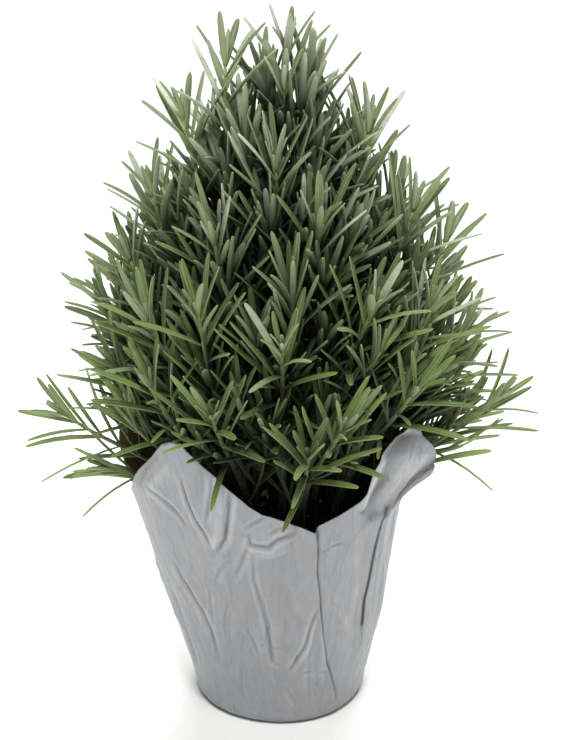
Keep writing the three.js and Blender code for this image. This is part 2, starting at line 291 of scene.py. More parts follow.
@dataclass(frozen=True)
class Finish:
    """What a surface is made of and how it was made."""

    name: str

    def material(self) -> bpy.types.Material:
        """Makes the finish's material.

        Returns:
            The new material.
        """
        made = bpy.data.materials.new(self.name)
        made.use_nodes = True
        tree = made.node_tree
        tree.nodes.clear()
        shader = add_node(tree, "BsdfPrincipled", self.surface(tree))
        add_node(tree, "OutputMaterial", {"Surface": shader.outputs[0]})
        return made

    def surface(self, tree: bpy.types.NodeTree) -> dict[str, object]:
        """Makes the finish's patterns.

        Args:
            tree: the material's node tree.

        Returns:
            What the Principled node's inputs take.
        """
        raise NotImplementedError

    def lumps(
        self, tree: bpy.types.NodeTree, size: float, stretch: tuple = (1, 1, 1), detail: float = 3
    ) -> bpy.types.NodeSocket:
        """Makes a pattern of lumps of a real size.

        Args:
            tree: the material's node tree.
            size: about how wide a lump is, in mm.
            stretch: how many times finer it is along each axis.
            detail: how many finer layers it has.

        Returns:
            The pattern's socket, from 0 to 1.
        """
        place = add_node(tree, "TexCoord").outputs["Object"]
        scaled = add_node(tree, "Mapping", {"Vector": place, "Scale": stretch})
        inputs = {"Vector": scaled.outputs[0], "Scale": 1 / (size * MM), "Detail": detail}
        return add_node(tree, "TexNoise", inputs).outputs[0]

    def tint(
        self,
        tree: bpy.types.NodeTree,
        share: bpy.types.NodeSocket,
        first: str | bpy.types.NodeSocket,
        second: str | bpy.types.NodeSocket,
        low: float = 0.0,
        high: float = 1.0,
        most: float = 1.0,
    ) -> bpy.types.NodeSocket:
        """Makes a colour that turns to another where a pattern is high.

        Args:
            tree: the material's node tree.
            share: the pattern.
            first: the colour at and below low.
            second: the colour at and above high.
            low: where the second colour starts.
            high: where it is full.
            most: its greatest share.

        Returns:
            The colour's socket.
        """
        ranged = add_node(
            tree, "MapRange", {"Value": share, "From Min": low, "From Max": high, "To Max": most}
        )
        ends = [c if isinstance(c, bpy.types.NodeSocket) else linear(c) for c in (first, second)]
        mixed = add_node(tree, "Mix", {0: ranged.outputs[0], 6: ends[0], 7: ends[1]}, data_type="RGBA")
        return mixed.outputs[2]


@dataclass(frozen=True)
class FeltedLeaf(Finish):
    """Lavender leaf, grown: a matt blade under a felt of fine white hairs, which greys its green."""

    young: str = "#8E9A76"
    grown: str = "#54692C"
    old: str = "#8CA34B"
    beneath: str = "#A0AC88"
    rib: str = "#AFBB94"
    silver: str = "#C0C5B8"
    fresh: str = "#84964A"
    dry: str = "#8C7A4C"
    bare: str = "#2B4506"
    painted_shade: str = "#0C1902"

    def surface(self, tree: bpy.types.NodeTree) -> dict[str, object]:
        """Makes the leaf's colours and hairs. The mesh carries age, tone and the parts of a blade.

        Args:
            tree: the material's node tree.

        Returns:
            What the Principled node's inputs take.
        """
        carried = {
            label: add_node(tree, "Attribute", attribute_name=label).outputs["Fac"]
            for label in ("age", "tone", "foot", "rib", "under", "dry", "deep")
        }
        age, tone = carried["age"], carried["tone"]
        colour = self.tint(tree, age, self.young, self.grown, 0.0, 0.5)
        colour = self.tint(tree, age, colour, self.old, 0.5, 1.0)
        # some leaves have thick felt, nearly white, and some a thin one that lets the green show
        felt = add_node(tree, "Math", {0: tone, 1: age}, operation="ADD").outputs[0]
        colour = self.tint(tree, felt, self.silver, colour, 0.12, 0.7)
        colour = self.tint(tree, tone, colour, self.bare, 0.4, 1.0, 0.7)
        # the felt is thinnest at the foot of a blade, and lies in drifts of about 3 mm
        colour = self.tint(tree, carried["foot"], colour, self.fresh, 0.0, 0.8, 0.75)
        colour = self.tint(tree, self.lumps(tree, 3.0), colour, self.bare, 0.5, 0.8, 0.35)
        colour = self.tint(tree, carried["rib"], colour, self.rib, 0.0, 1.0, 0.55)
        colour = self.tint(tree, carried["under"], colour, self.beneath, 0.0, 1.0, 0.5)
        colour = self.tint(tree, carried["dry"], colour, self.dry, 0.0, 1.0, 0.9)
        # painted shade: leaves deep in the crown turn nearly black, for the shade that falls there as well as
        # their thinner felt
        colour = self.tint(tree, carried["deep"], colour, self.painted_shade, 0.0, 1.0, 0.92)
        # hairs are about 0.1 mm apart: drawn at 0.5 mm, so that they show
        fluff = self.lumps(tree, 0.5)
        hairs = add_node(tree, "Bump", {"Height": fluff, "Distance": 0.12 * MM, "Strength": 1.0})
        return {
            "Base Color": colour, "Normal": hairs.outputs[0], "Roughness": 0.55, "IOR": 1.31,
            "Sheen Weight": 0.03, "Sheen Roughness": 0.4,
        }


@dataclass(frozen=True)
class SquareStemBark(Finish):
    """Lavender stem, grown: green and downy at the tip, brown and woody at the root."""

    green: str = "#8A9A5C"
    woody: str = "#2E2518"
    strip: str = "#3A3020"
    painted_shade: str = "#0C0A06"

    def surface(self, tree: bpy.types.NodeTree) -> dict[str, object]:
        """Makes the stem's colours and bark.

        Args:
            tree: the material's node tree.

        Returns:
            What the Principled node's inputs take.
        """
        age = add_node(tree, "Attribute", attribute_name="age").outputs["Fac"]
        deep = add_node(tree, "Attribute", attribute_name="deep").outputs["Fac"]
        colour = self.tint(tree, age, self.green, self.woody, 0.2, 0.7)
        # bark splits into strips about 1 mm wide, which run up the stem
        strips = self.lumps(tree, 1.0, (1, 1, 0.15))
        colour = self.tint(tree, strips, colour, self.strip, 0.5, 0.85, 0.5)
        # painted shade: the stem turns nearly black deep in the crown, where shade falls
        colour = self.tint(tree, deep, colour, self.painted_shade, 0.1, 0.8, 0.9)
        bark = add_node(tree, "Bump", {"Height": strips, "Distance": 0.25 * MM, "Strength": 1.0})
        return {
            "Base Color": colour, "Normal": bark.outputs[0], "Roughness": 0.7, "IOR": 1.45,
            "Sheen Weight": 0.2,
        }


@dataclass(frozen=True)
class LaminatedPaper(Finish):
    """Silver-grey paper, laminated and pressed: a marbled print under a thin film with a satin gloss."""

    cool: str = "#8B9097"
    warm: str = "#918F90"
    pale: str = "#98999B"
    fibre: str = "#7E8083"
    wear_and_highlight: str = "#D2D3D3"
    crease: str = "#75787B"
    shade: str = "#2C2D2E"

    def surface(self, tree: bpy.types.NodeTree) -> dict[str, object]:
        """Makes the paper's print, folds and crumples.

        Args:
            tree: the material's node tree.

        Returns:
            What the Principled node's inputs take.
        """
        # the print's clouds are about 16 mm wide and its veins about 5 mm
        colour = self.tint(tree, self.lumps(tree, 16.0, (1, 1, 0.7), 4), self.cool, self.warm, 0.4, 0.62)
        colour = self.tint(tree, self.lumps(tree, 5.0, (1, 1, 0.6), 5), colour, self.pale, 0.5, 0.75, 0.7)
        # the paper's fibres, drawn at 1.2 mm so that they show
        fibres = self.lumps(tree, 1.2, (1, 1, 0.12), 4)
        colour = self.tint(tree, fibres, colour, self.fibre, 0.52, 0.75, 0.35)
        # painted highlight and shade on the folds: pale along their backs, partly the film's own wear and
        # partly painted highlight, and painted shade down in the valleys, hollows and beside the laps
        fold = add_node(tree, "Attribute", attribute_name="fold").outputs["Fac"]
        colour = self.tint(tree, fold, colour, self.wear_and_highlight, 0.05, 1.0, 0.7)
        inward = add_node(tree, "Math", {0: fold, 1: -1.0}, operation="MULTIPLY").outputs[0]
        colour = self.tint(tree, inward, colour, self.shade, 0.1, 1.0, 0.9)
        # crisp little creases run where lumps of 11 mm cross their middle, with a little painted shade along
        # them; softer crumples are 4 mm wide
        away = self.lumps(tree, 11.0, (1, 1, 0.25), 3)
        for operation, value in (("SUBTRACT", 0.5), ("ABSOLUTE", 0.0), ("MULTIPLY", 16.0)):
            away = add_node(tree, "Math", {0: away, 1: value}, operation=operation).outputs[0]
        crease = add_node(tree, "MapRange", {"Value": away, "To Min": 1.0, "To Max": 0.0}).outputs[0]
        colour = self.tint(tree, crease, colour, self.crease, 0.3, 1.0, 0.12)
        crisp = add_node(tree, "Bump", {"Height": crease, "Distance": -0.35 * MM, "Strength": 1.0})
        height, under = self.lumps(tree, 4.0, (1, 1, 0.3), 4), crisp.outputs[0]
        soft = add_node(
            tree, "Bump", {"Height": height, "Distance": 0.3 * MM, "Strength": 1.0, "Normal": under}
        )
        return {
            "Base Color": colour, "Normal": soft.outputs[0], "Roughness": 0.42, "IOR": 1.45, "Metallic": 0.22,
        }


@dataclass(frozen=True)
class Mottled(Finish):
    """A surface of two colours in lumps of a real size, with a relief of lumps as well. Sizes are in mm."""

    first: str = "#808080"
    second: str = "#606060"
    lump: float = 1.0
    stretch: tuple = (1, 1, 1)
    detail: float = 3
    low: float = 0.45
    high: float = 0.7
    most: float = 1.0
    grain: float = 0.0
    depth: float = 0.3
    roughness: float = 0.85
    ior: float = 1.5

    def surface(self, tree: bpy.types.NodeTree) -> dict[str, object]:
        """Makes the lumps, and the relief of the same lumps or of a finer grain.

        Args:
            tree: the material's node tree.

        Returns:
            What the Principled node's inputs take.
        """
        lumps = self.lumps(tree, self.lump, self.stretch, self.detail)
        colour = self.tint(tree, lumps, self.first, self.second, self.low, self.high, self.most)
        height = self.lumps(tree, self.grain) if self.grain else lumps
        relief = add_node(tree, "Bump", {"Height": height, "Distance": self.depth * MM, "Strength": 1.0})
        return {
            "Base Color": colour, "Normal": relief.outputs[0], "Roughness": self.roughness, "IOR": self.ior,
        }


@dataclass(frozen=True)
class KraftPaper(Mottled):
    """Brown kraft paper, unprinted: the wrap's matt inner face, with wood fibres of 2 to 3 mm."""

    first: str = "#7C6230"
    second: str = "#5E4A20"
    lump: float = 2.5
    stretch: tuple = (1, 1, 0.3)
    detail: float = 5
    low: float = 0.4
    depth: float = 0.15
    ior: float = 1.45


@dataclass(frozen=True)
class MouldedPolypropylene(Mottled):
    """Black polypropylene, injection moulded: dull, with dried splashes and the mould's own grain.

    The splashes are 12 mm wide and the grain is 0.4 mm.
    """

    first: str = "#17181A"
    second: str = "#3B3630"
    lump: float = 12.0
    detail: float = 5
    low: float = 0.5
    high: float = 0.8
    most: float = 0.5
    grain: float = 0.4
    depth: float = 0.04
    roughness: float = 0.45
    ior: float = 1.49


@dataclass(frozen=True)
class BrokenGrains(Mottled):
    """Loose grains in the soil, puffed perlite or chips of pine bark: matt, with pores of 0.7 mm."""

    first: str = "#D8D5CC"
    second: str = "#9A958A"
    lump: float = 0.7


@dataclass(frozen=True)
class PaintedBoard(Mottled):
    """Board under matt off-white paint, the studio's floor: a roller's texture of 1.5 mm."""

    first: str = "#F1F1EF"
    second: str = "#EDEDEB"
    lump: float = 1.5
    low: float = 0.3
    depth: float = 0.05
    roughness: float = 0.9


@dataclass(frozen=True)
class ScreenedPeat(Finish):
    """Peat potting soil, screened and moist: dark crumbs with paler dry fibres."""

    moist: str = "#1C1510"
    dry: str = "#3A2C20"
    pore: str = "#0E0A07"

    def surface(self, tree: bpy.types.NodeTree) -> dict[str, object]:
        """Makes the soil's crumbs and grit.

        Args:
            tree: the material's node tree.

        Returns:
            What the Principled node's inputs take.
        """
        # crumbs of 2 mm and grit of 0.6 mm
        crumbs, grit = self.lumps(tree, 2.0, (1, 1, 1), 5), self.lumps(tree, 0.6)
        colour = self.tint(tree, crumbs, self.moist, self.dry, 0.45, 0.7)
        colour = self.tint(tree, grit, colour, self.pore, 0.5, 0.75, 0.7)
        coarse = add_node(tree, "Bump", {"Height": crumbs, "Distance": 0.9 * MM, "Strength": 1.0}).outputs[0]
        fine = add_node(
            tree, "Bump", {"Height": grit, "Distance": 0.3 * MM, "Strength": 1.0, "Normal": coarse}
        )
        return {"Base Color": colour, "Normal": fine.outputs[0], "Roughness": 0.92, "IOR": 1.4}


# ---- Nursery pot ----


@dataclass
class NurseryPot:
    """An 11 cm pot of thin moulded plastic, with a stepped rim and drain holes."""

    foot: float = 1.1
    rim_radius: float = 55.0
    height: float = 98.0
    base_radius: float = 38.5
    wall: float = 1.2
    rim_height: float = 9.0
    rim_step: float = 3.2
    chamfer: float = 5.0
    drain_radius: float = 4.0
    drain_reach: float = 23.0
    drains: int = 5
    segments: int = 96

    @property
    def top(self) -> float:
        """The height of the rim's top."""
        return self.foot + self.height

    def wall_radius(self, z: float) -> float:
        """Gives the outside radius of the tapered wall at a height."""
        share = (z - self.foot) / (self.height - self.rim_height)
        return self.base_radius + (self.rim_radius - self.rim_step - self.base_radius) * share

    def profile(self) -> list[tuple[float, float]]:
        """Gives the pot's section, with rounded edges at the foot, the rim and its lip.

        Returns:
            Radii and heights, outside first.
        """
        low, rim = self.foot, self.top - self.rim_height
        bend, edge, half = low + self.chamfer, self.base_radius - self.chamfer / 2, self.wall / 2
        mid = self.rim_radius - half
        lip = [
            (mid + half * math.cos(a), self.top - half + half * math.sin(a))
            for a in np.linspace(0, math.pi, 7)
        ]
        return [
            (0.0, low + 1.2),
            (edge - 3, low + 0.9),
            (edge - 1, low),
            (edge + 0.6, low + 0.5),
            (self.wall_radius(bend) - 0.4, bend - 0.8),
            (self.wall_radius(bend) + 0.05, bend + 1.5),
            *((self.wall_radius(z), z) for z in np.linspace(bend + 6, rim - 0.6, 6)),
            (self.wall_radius(rim) + 0.4, rim - 0.1),
            (self.rim_radius - 0.5, rim),
            (self.rim_radius, rim + 0.5),
            *lip,
            (self.rim_radius - self.wall, rim + self.wall + 0.6),
            (self.rim_radius - self.wall - 0.6, rim + self.wall),
            (self.wall_radius(rim) - self.wall + 0.3, rim + self.wall - 0.2),
            *((self.wall_radius(z) - self.wall, z) for z in np.linspace(rim - 1, bend, 6)),
            (edge - self.wall, low + self.wall + 0.6),
            (edge - 4, low + 2.2),
            (0.0, low + 2.4),
        ]

    def build(self, finish: Finish) -> list[bpy.types.Object]:
        """Builds the pot.

        Args:
            finish: the pot's plastic.

        Returns:
            The pot's piece.
        """
        profile = self.profile()
        rings = [ring(reach, z, self.segments) for reach, z in profile[1:-1]]
        form = spun(rings, profile[0][1], profile[-1][1])
        piece = make_piece("nursery_pot_shell", form, [finish.material()])
        self.drill(piece)
        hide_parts("nursery_pot")
        return [piece]

    def drill(self, piece: bpy.types.Object) -> None:
        """Cuts the drain holes.

        Args:
            piece: the pot.
        """
        drills = bmesh.new()
        for drain in range(self.drains):
            made = bmesh.ops.create_cone(
                drills, cap_ends=True, segments=24, radius1=self.drain_radius * MM,
                radius2=self.drain_radius * MM, depth=20 * MM,
            )
            place = around(self.drain_reach, drain / self.drains * 2 * math.pi, 2.0) * MM
            bmesh.ops.translate(drills, verts=made["verts"], vec=place)
        mesh = bpy.data.meshes.new("drills")
        drills.to_mesh(mesh)
        drills.free()
        cutter = place_object("drills", mesh)
        cut = piece.modifiers.new("drains", "BOOLEAN")
        cut.operation, cut.object, cut.solver = "DIFFERENCE", cutter, "EXACT"
        graph = bpy.context.evaluated_depsgraph_get()
        drilled = bpy.data.meshes.new_from_object(piece.evaluated_get(graph))
        piece.modifiers.clear()
        piece.data = drilled
        bpy.data.objects.remove(cutter)


# ---- Potting soil ----


@dataclass
class SoilBed:
    """Moist peat soil, a low crumbly dome inside the pot, with perlite and bark in it."""

    pot: NurseryPot
    edge_below_rim: float = 10.0
    crown: float = 3.0
    gap: float = 0.3
    rings: int = 46
    columns: int = 180
    grains: int = 90
    # the surface's lumps: how wide and how high
    crumbs: tuple = ((9.0, 0.9), (4.0, 0.8), (1.8, 0.55))

    @property
    def edge(self) -> float:
        """The height of the soil's edge."""
        return self.pot.top - self.edge_below_rim

    def height(self, reach: float) -> float:
        """Gives the height of the dome at a distance from the axis."""
        return self.edge + self.crown * (1 - (reach / self.pot.rim_radius) ** 2)

    def build(self, peat: Finish, perlite: Finish, bark: Finish) -> list[bpy.types.Object]:
        """Builds the soil and its grains.

        Args:
            peat: the soil's finish.
            perlite: the white grains' finish.
            bark: the brown chips' finish.

        Returns:
            The pieces.
        """
        clear = self.pot.wall + self.gap
        rim = self.pot.wall_radius(self.edge) - clear
        floor = self.pot.foot + clear + 1.0
        layers = [(self.pot.base_radius - 8, floor)]
        layers += [(self.pot.wall_radius(z) - clear, z) for z in (12.0, 50.0)]
        rings = [ring(reach, z, self.columns) for reach, z in (*layers, (rim, self.edge - 1))]
        for share in np.linspace(0.985, 0.02, self.rings):
            top = ring(rim * share, self.height(rim * share), self.columns)
            for cell, depth in self.crumbs:
                top[:, 2] += depth * lattice_noise(top[:, 0], top[:, 1], top[:, 2] * 0, cell, int(cell * 10))
            rings.append(top)
        form = spun(rings, floor, self.height(0), 1)
        bed = make_piece("soil_bed", form, [peat.material()])
        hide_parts("potting_soil")
        pieces = [bed]
        kinds = (
            ("perlite_grains", perlite, 1.1, 1), ("bark_chips", bark, 2.6, 2), ("soil_crumbs", peat, 1.6, 3)
        )
        return pieces + [self.scatter(*kind) for kind in kinds]

    def scatter(self, name: str, finish: Finish, size: float, key: int) -> bpy.types.Object:
        """Strews angular grains over the soil.

        Args:
            name: the piece's name.
            finish: the grains' finish.
            size: a grain's usual radius, in mm.
            key: which grains these are.

        Returns:
            The piece.
        """
        ball = bmesh.new()
        bmesh.ops.create_icosphere(ball, subdivisions=2, radius=1)
        shape = np.array([v.co for v in ball.verts])
        facets = [[v.index for v in f.verts] for f in ball.faces]
        ball.free()
        points, faces = [], []
        for grain in range(self.grains):
            reach = (self.pot.wall_radius(self.edge) - 5) * math.sqrt(draw(grain, key, 1))
            turn = 2 * math.pi * draw(grain, key, 2)
            scale = size * (0.55 + 0.9 * draw(grain, key, 3))
            flat = np.array([1.0, 0.6 + 0.4 * draw(grain, key, 4), 0.4 + 0.4 * draw(grain, key, 5)])
            lump = shape * flat
            lump = lump * (1 + 0.35 * lattice_noise(*(lump * 1.3 + grain * 7).T, 1.0, key))[:, None]
            spin = 2 * math.pi * draw(grain, key, 6)
            c, s = math.cos(spin), math.sin(spin)
            lump = lump @ np.array([[c, s, 0], [-s, c, 0], [0, 0, 1]]) * scale
            faces.extend([v + grain * len(shape) for v in facet] for facet in facets)
            points.append(lump + around(reach, turn, self.height(reach) + 0.4 * scale))
        return make_piece(name, (np.concatenate(points), faces), [finish.material()])


# ---- Paper wrap ----


class Fold(Enum):
    """How a fold in the paper stands to the faces beside it."""

    VALLEY = "valley"
    RIDGE = "ridge"
    HOLLOW = "hollow"
    LAP = "lap"


@dataclass
class Crease:
    """One fold: its line of azimuths in degrees and heights, how wide and how deep it is, in mm."""

    kind: Fold
    line: list[tuple[float, float]]
    width: float
    depth: float
    # how strong its painted highlight and shade are, from 0 up, how it fades in from its ends and how tight
    # its core is beside it
    mark: float = 0.62
    fade_in: tuple = (6, 0.6)
    tight: float = 0.4
    # a valley's drop, and its shoulders' place, rise and painted highlight; a ridge's rise and painted
    # highlight;
    # how wide a lap's step is, and its painted shade's strength and width
    valley_drop: float = 1.5
    shoulder: tuple = (1.5, 0.5, 0.4)
    ridge: tuple = (1.4, 0.7)
    lap_step: float = 0.12
    lap_shade: tuple = (2.4, 0.8)

    def beside(self, azimuth: Array, z: Array, reach: Array) -> tuple[Array, Array, Array]:
        """Measures points of the sheet from the fold's line.

        Args:
            azimuth: degrees.
            z: heights.
            reach: the sheet's radius at each point.

        Returns:
            How far each point lies from the line, on which side of it, and how far along it, from 0 to 1.
        """
        nearest, side, share = np.full_like(z, 1e9), np.zeros_like(z), np.zeros_like(z)
        for n, ((a0, z0), (a1, z1)) in enumerate(zip(self.line, self.line[1:])):
            # the sheet laid flat about the segment's middle
            px = np.radians((azimuth - (a0 + a1) / 2 + 180) % 360 - 180) * reach
            bx = math.radians((a1 - a0) / 2) * reach
            dx, dz = 2 * bx, z1 - z0
            t = np.clip(((px + bx) * dx + (z - z0) * dz) / (dx * dx + dz * dz), 0, 1)
            gx, gz = px + bx - t * dx, z - z0 - t * dz
            gap = np.hypot(gx, gz)
            closer = gap < nearest
            nearest = np.where(closer, gap, nearest)
            side = np.where(closer, np.sign(gx * dz - gz * dx), side)
            share = np.where(closer, (n + t) / (len(self.line) - 1), share)
        return nearest, side, share

    def shape(self, azimuth: Array, z: Array, reach: Array) -> tuple[Array, Array]:
        """Gives what the fold does at points of the sheet.

        Args:
            azimuth: degrees.
            z: heights.
            reach: the sheet's radius at each point.

        Returns:
            How far each point moves outward, and how much painted light it takes: above 0 a painted
            highlight, on a ridge and a valley's shoulders, and below 0 painted shade, in a valley, a hollow
            and beside a lap.
        """
        nearest, side, share = self.beside(azimuth, z, reach)
        fade = np.clip(np.minimum(share, 1 - share) * self.fade_in[0], 0, 1) ** self.fade_in[1]
        slope = np.exp(-nearest / self.width)
        tight = self.mark * fade * np.exp(-nearest / (self.tight * self.width))
        if self.kind is Fold.VALLEY:
            # a pressed valley throws up a shoulder on each side; painted highlight on the shoulders, painted
            # shade down in the valley
            place, rise, mark = self.shoulder
            shoulder = fade * np.exp(-(((nearest - place * self.width) / self.width) ** 2))
            moved = self.depth * (rise * shoulder - self.valley_drop * fade * slope)
            return moved, mark * self.mark * shoulder - tight
        if self.kind is Fold.HOLLOW:
            # a hollow lays painted shade over its width, even where it has hardly any depth
            soft = np.clip(fade * 2, 0, 1) * np.exp(-((nearest / self.width) ** 2))
            return -self.depth * soft, -self.mark * soft
        if self.kind is Fold.RIDGE:
            # painted highlight along a ridge's back
            rise, mark = self.ridge
            return rise * self.depth * fade * slope, mark * tight
        # a lap lays painted shade on the low side of its step
        dark, reach_down = self.lap_shade
        low_side = side < 0 if self.depth > 0 else side > 0
        open_side = np.clip(side * nearest / self.lap_step, 0, 1) * slope
        return self.depth * open_side, -dark * low_side * np.exp(-nearest / reach_down)


@dataclass
class PaperWrap:
    """A stand-up cover, pressed from a square sheet whose corners rise round the pot."""

    paper: float = 0.5
    floor_radius: float = 39.0
    round_height: float = 8.0
    wall_radius: float = 44.2
    taper: float = 0.21
    drift: float = -0.07
    neck: float = 104.0
    pleats: tuple = ((9, 0.7, 40), (13, 0.5, 115))
    # where the foot is pressed in: azimuth and spread in degrees, how far and how high, in mm
    tuck: tuple = (-24.0, 34.0, 4.2, 46.0)
    # the skirt's edge: azimuth in degrees, height, and how far it stands out, in mm
    edge: tuple = (
        (-172, 118, 0), (-160, 123, 0), (-127, 163, 0), (-117, 165, -1), (-97, 133, -2), (-70, 117, -1),
        (-51, 128, 1), (-38, 168, 13), (-26, 143, 21), (-12, 122, 9), (4, 116, 3), (28, 136, 5),
        (45, 152, 8), (62, 134, 4), (90, 116, 1), (118, 134, 4), (140, 151, 8), (156, 140, 9), (172, 124, 4),
    )
    # the same edge as it is cut and curled: finer steps where the sheet is seen from the front
    cut: tuple = (
        (-172, 118, 0), (-160, 123, 0.6), (-147, 138, 1.2), (-134, 153, 1), (-127, 162.5, 0.4),
        (-122, 165.5, -0.4), (-118, 165.6, -1), (-115, 161, -1.3), (-107, 149.3, -1.6), (-102, 140.4, -1.9),
        (-96, 132.4, -2), (-91, 128.4, -1.8), (-87, 127.4, -1.6), (-82, 125.2, -1.4), (-76, 121.6, -1.1),
        (-69.8, 117, -1), (-68.2, 120.6, -0.7), (-60, 124.2, 0), (-49, 129.6, 0.6), (-47, 133, 1.4),
        (-45.6, 145, 3), (-43.2, 155, 6), (-40.5, 163.5, 9.5), (-38.2, 170.4, 12.3), (-36, 166.8, 15),
        (-31, 157, 18.8), (-28.2, 148.5, 20.8), (-25.5, 142, 20.6), (-21, 134, 17.2), (-16, 126, 12),
        (-12, 122, 9), (4, 116, 3), (16, 124, 3.6), (28, 136, 5), (40, 149.5, 7.4), (46, 151.6, 8),
        (51, 147, 6.8), (62, 134, 4), (76, 121, 2), (90, 116, 1), (104, 121, 2), (118, 134, 4),
        (132, 148, 6.8), (139, 151, 8), (145, 148.6, 8.6), (156, 140, 9), (164, 131, 6.6), (172, 124, 4),
        (180, 120, 2),
    )
    # the mesh's columns: from and to azimuths, in degrees, and the step, finer where the front shows
    front: tuple = (-152, -22, 0.5)
    back: tuple = (-22, 208, 1.6)
    wall_rows: int = 62
    skirt_rows: int = 38
    # a lap's two close columns stand this far from it, and so many degrees beside it follow a straight
    # lap or a slanted one
    lap_columns: float = 0.12
    lap_follows: tuple = (8.0, 28.0)
    # crumpled paper: soft lumps and sharp little valleys, each how wide, how deep and which noise it is
    soft_lumps: tuple = ((26.0, 0.7, 5), (11.0, 0.2, 6))
    nicks: tuple = ((21.0, 0.6, 8), (10.0, 0.4, 9))
    sharpness: float = 8.0
    roll: float = 50.0
    # folds and crumples fade in up to this height
    plain_foot: float = 14.0
    creases: list = field(default_factory=list)

    def skirt_edge(self, azimuth: Array, table: tuple) -> tuple[Array, Array]:
        """Gives the height and flare of the edge at azimuths, straight between the listed points.

        Args:
            azimuth: degrees.
            table: the listed points.

        Returns:
            Heights and flares.
        """
        rows = np.array([*table, (table[0][0] + 360, *table[0][1:])], float)
        at = (np.asarray(azimuth, float) - rows[0, 0]) % 360 + rows[0, 0]
        return np.interp(at, rows[:, 0], rows[:, 1]), np.interp(at, rows[:, 0], rows[:, 2])

    def radius(self, azimuth: Array, z: Array, table: tuple) -> Array:
        """Gives the outside radius about the wrap's own middle.

        Args:
            azimuth: degrees.
            z: heights.
            table: the edge's listed points.

        Returns:
            Radii.
        """
        azimuth, z = np.asarray(azimuth, float), np.asarray(z, float)
        full = self.wall_radius + self.taper * self.round_height
        down = 1 - np.clip(z, 0, self.round_height) / self.round_height
        foot = self.floor_radius + (full - self.floor_radius) * np.sqrt(1 - down * down)
        height, flare = self.skirt_edge(azimuth, table)
        up = np.maximum(0, (z - self.neck) / (height - self.neck))
        share = (z - self.round_height) / (self.neck - self.round_height)
        fold = sum(depth * np.sin(np.radians(lobes * azimuth + phase)) for lobes, depth, phase in self.pleats)
        wall = self.wall_radius + self.taper * z + share * fold + flare * up * up
        return np.where(z < self.round_height, foot, wall)

    def middle(self, z: Array) -> Array:
        """Gives how far the wrap's middle has leant along X at heights."""
        return self.drift * np.maximum(0, np.asarray(z, float) - self.round_height)

    def near(self, p: Array, distance: float) -> bool:
        """Tells whether any point lies within a distance of the wrap's paper.

        Args:
            p: the points, one a row.
            distance: in mm.

        Returns:
            True where one does.
        """
        x = p[:, 0] - self.middle(p[:, 2])
        azimuth = np.degrees(np.arctan2(p[:, 1], x))
        height, _ = self.skirt_edge(azimuth, self.edge)
        gap = np.abs(np.hypot(x, p[:, 1]) - self.radius(azimuth, np.minimum(p[:, 2], height), self.edge))
        return bool(((p[:, 2] - height < distance) & (gap < distance)).any())

    def relief(self, azimuth: Array, z: Array) -> tuple[Array, Array]:
        """Adds up what the folds do at points of the sheet.

        Args:
            azimuth: degrees.
            z: heights.

        Returns:
            How far each point moves outward, and how much painted highlight (above 0) and painted shade
            (below 0) it takes.
        """
        shapes = [crease.shape(azimuth, z, self.wall_radius + self.taper * z) for crease in self.creases]
        return sum(moved for moved, _ in shapes), sum(painted_light for _, painted_light in shapes)

    def lumps(self, azimuth: Array, z: Array, cell: float, key: int) -> Array:
        """Gives noise over the sheet, rolled up so that it meets itself without a seam.

        Args:
            azimuth: degrees.
            z: heights.
            cell: the size of a lump, in mm.
            key: which noise this is.

        Returns:
            A number for each point.
        """
        turn = np.radians(azimuth)
        return lattice_noise(self.roll * np.cos(turn), self.roll * np.sin(turn), z, cell, key)

    def columns_at(self, z: Array) -> Array:
        """Gives the azimuths of the mesh's columns. Two close ones follow each lap, so that it is crisp.

        Args:
            z: heights, one a row.

        Returns:
            A row of azimuths for each height.
        """
        laps = [crease.line for crease in self.creases if crease.kind is Fold.LAP]
        even = np.concatenate([np.arange(*self.front), np.arange(*self.back)])
        for line in laps:
            even = even[np.abs(even - line[0][0]) > 0.5]
        tight = [line[0][0] + step for line in laps for step in (-self.lap_columns, self.lap_columns)]
        azimuth = np.sort(np.concatenate([even, tight]))
        moved = np.broadcast_to(azimuth, (len(z), len(azimuth))).copy()
        for line in laps:
            rows = np.array(line[::-1])
            shift = np.interp(z, rows[:, 1], rows[:, 0]) - line[0][0]
            window = self.lap_follows[int(np.abs(shift).max() >= 5)]
            moved += shift[:, None] * np.clip(1 - np.abs(azimuth - line[0][0]) / window, 0, 1)
        return moved

    def build(self, face: Finish, inside: Finish) -> list[bpy.types.Object]:
        """Builds the wrap as one closed shell.

        Args:
            face: the printed outer face's finish.
            inside: the inner face's finish.

        Returns:
            The wrap's piece.
        """
        azimuth = self.columns_at(np.array([200.0]))[0]
        height, _ = self.skirt_edge(azimuth, self.cut)
        flat = np.ones_like(azimuth)
        rows = [z * flat for z in self.round_height * (1 - np.cos(np.linspace(0, 1.5, 7)))]
        rows += [z * flat for z in np.linspace(self.round_height, self.neck, self.wall_rows)]
        rows += [self.neck + (height - self.neck) * s for s in np.linspace(0, 1, self.skirt_rows + 1)[1:]]
        z = np.array(rows)
        a = self.columns_at(z.mean(1))
        moved, painted_light = self.relief(a, z)
        stiff = np.clip(z / self.plain_foot, 0, 1)
        crumple = sum(depth * self.lumps(a, z * 0.6, cell, key) for cell, depth, key in self.soft_lumps)
        crumple = crumple - sum(
            depth * np.exp(-self.sharpness * np.abs(self.lumps(a, z * 0.22, cell, key)))
            for cell, depth, key in self.nicks
        )
        at, spread, most, high = self.tuck
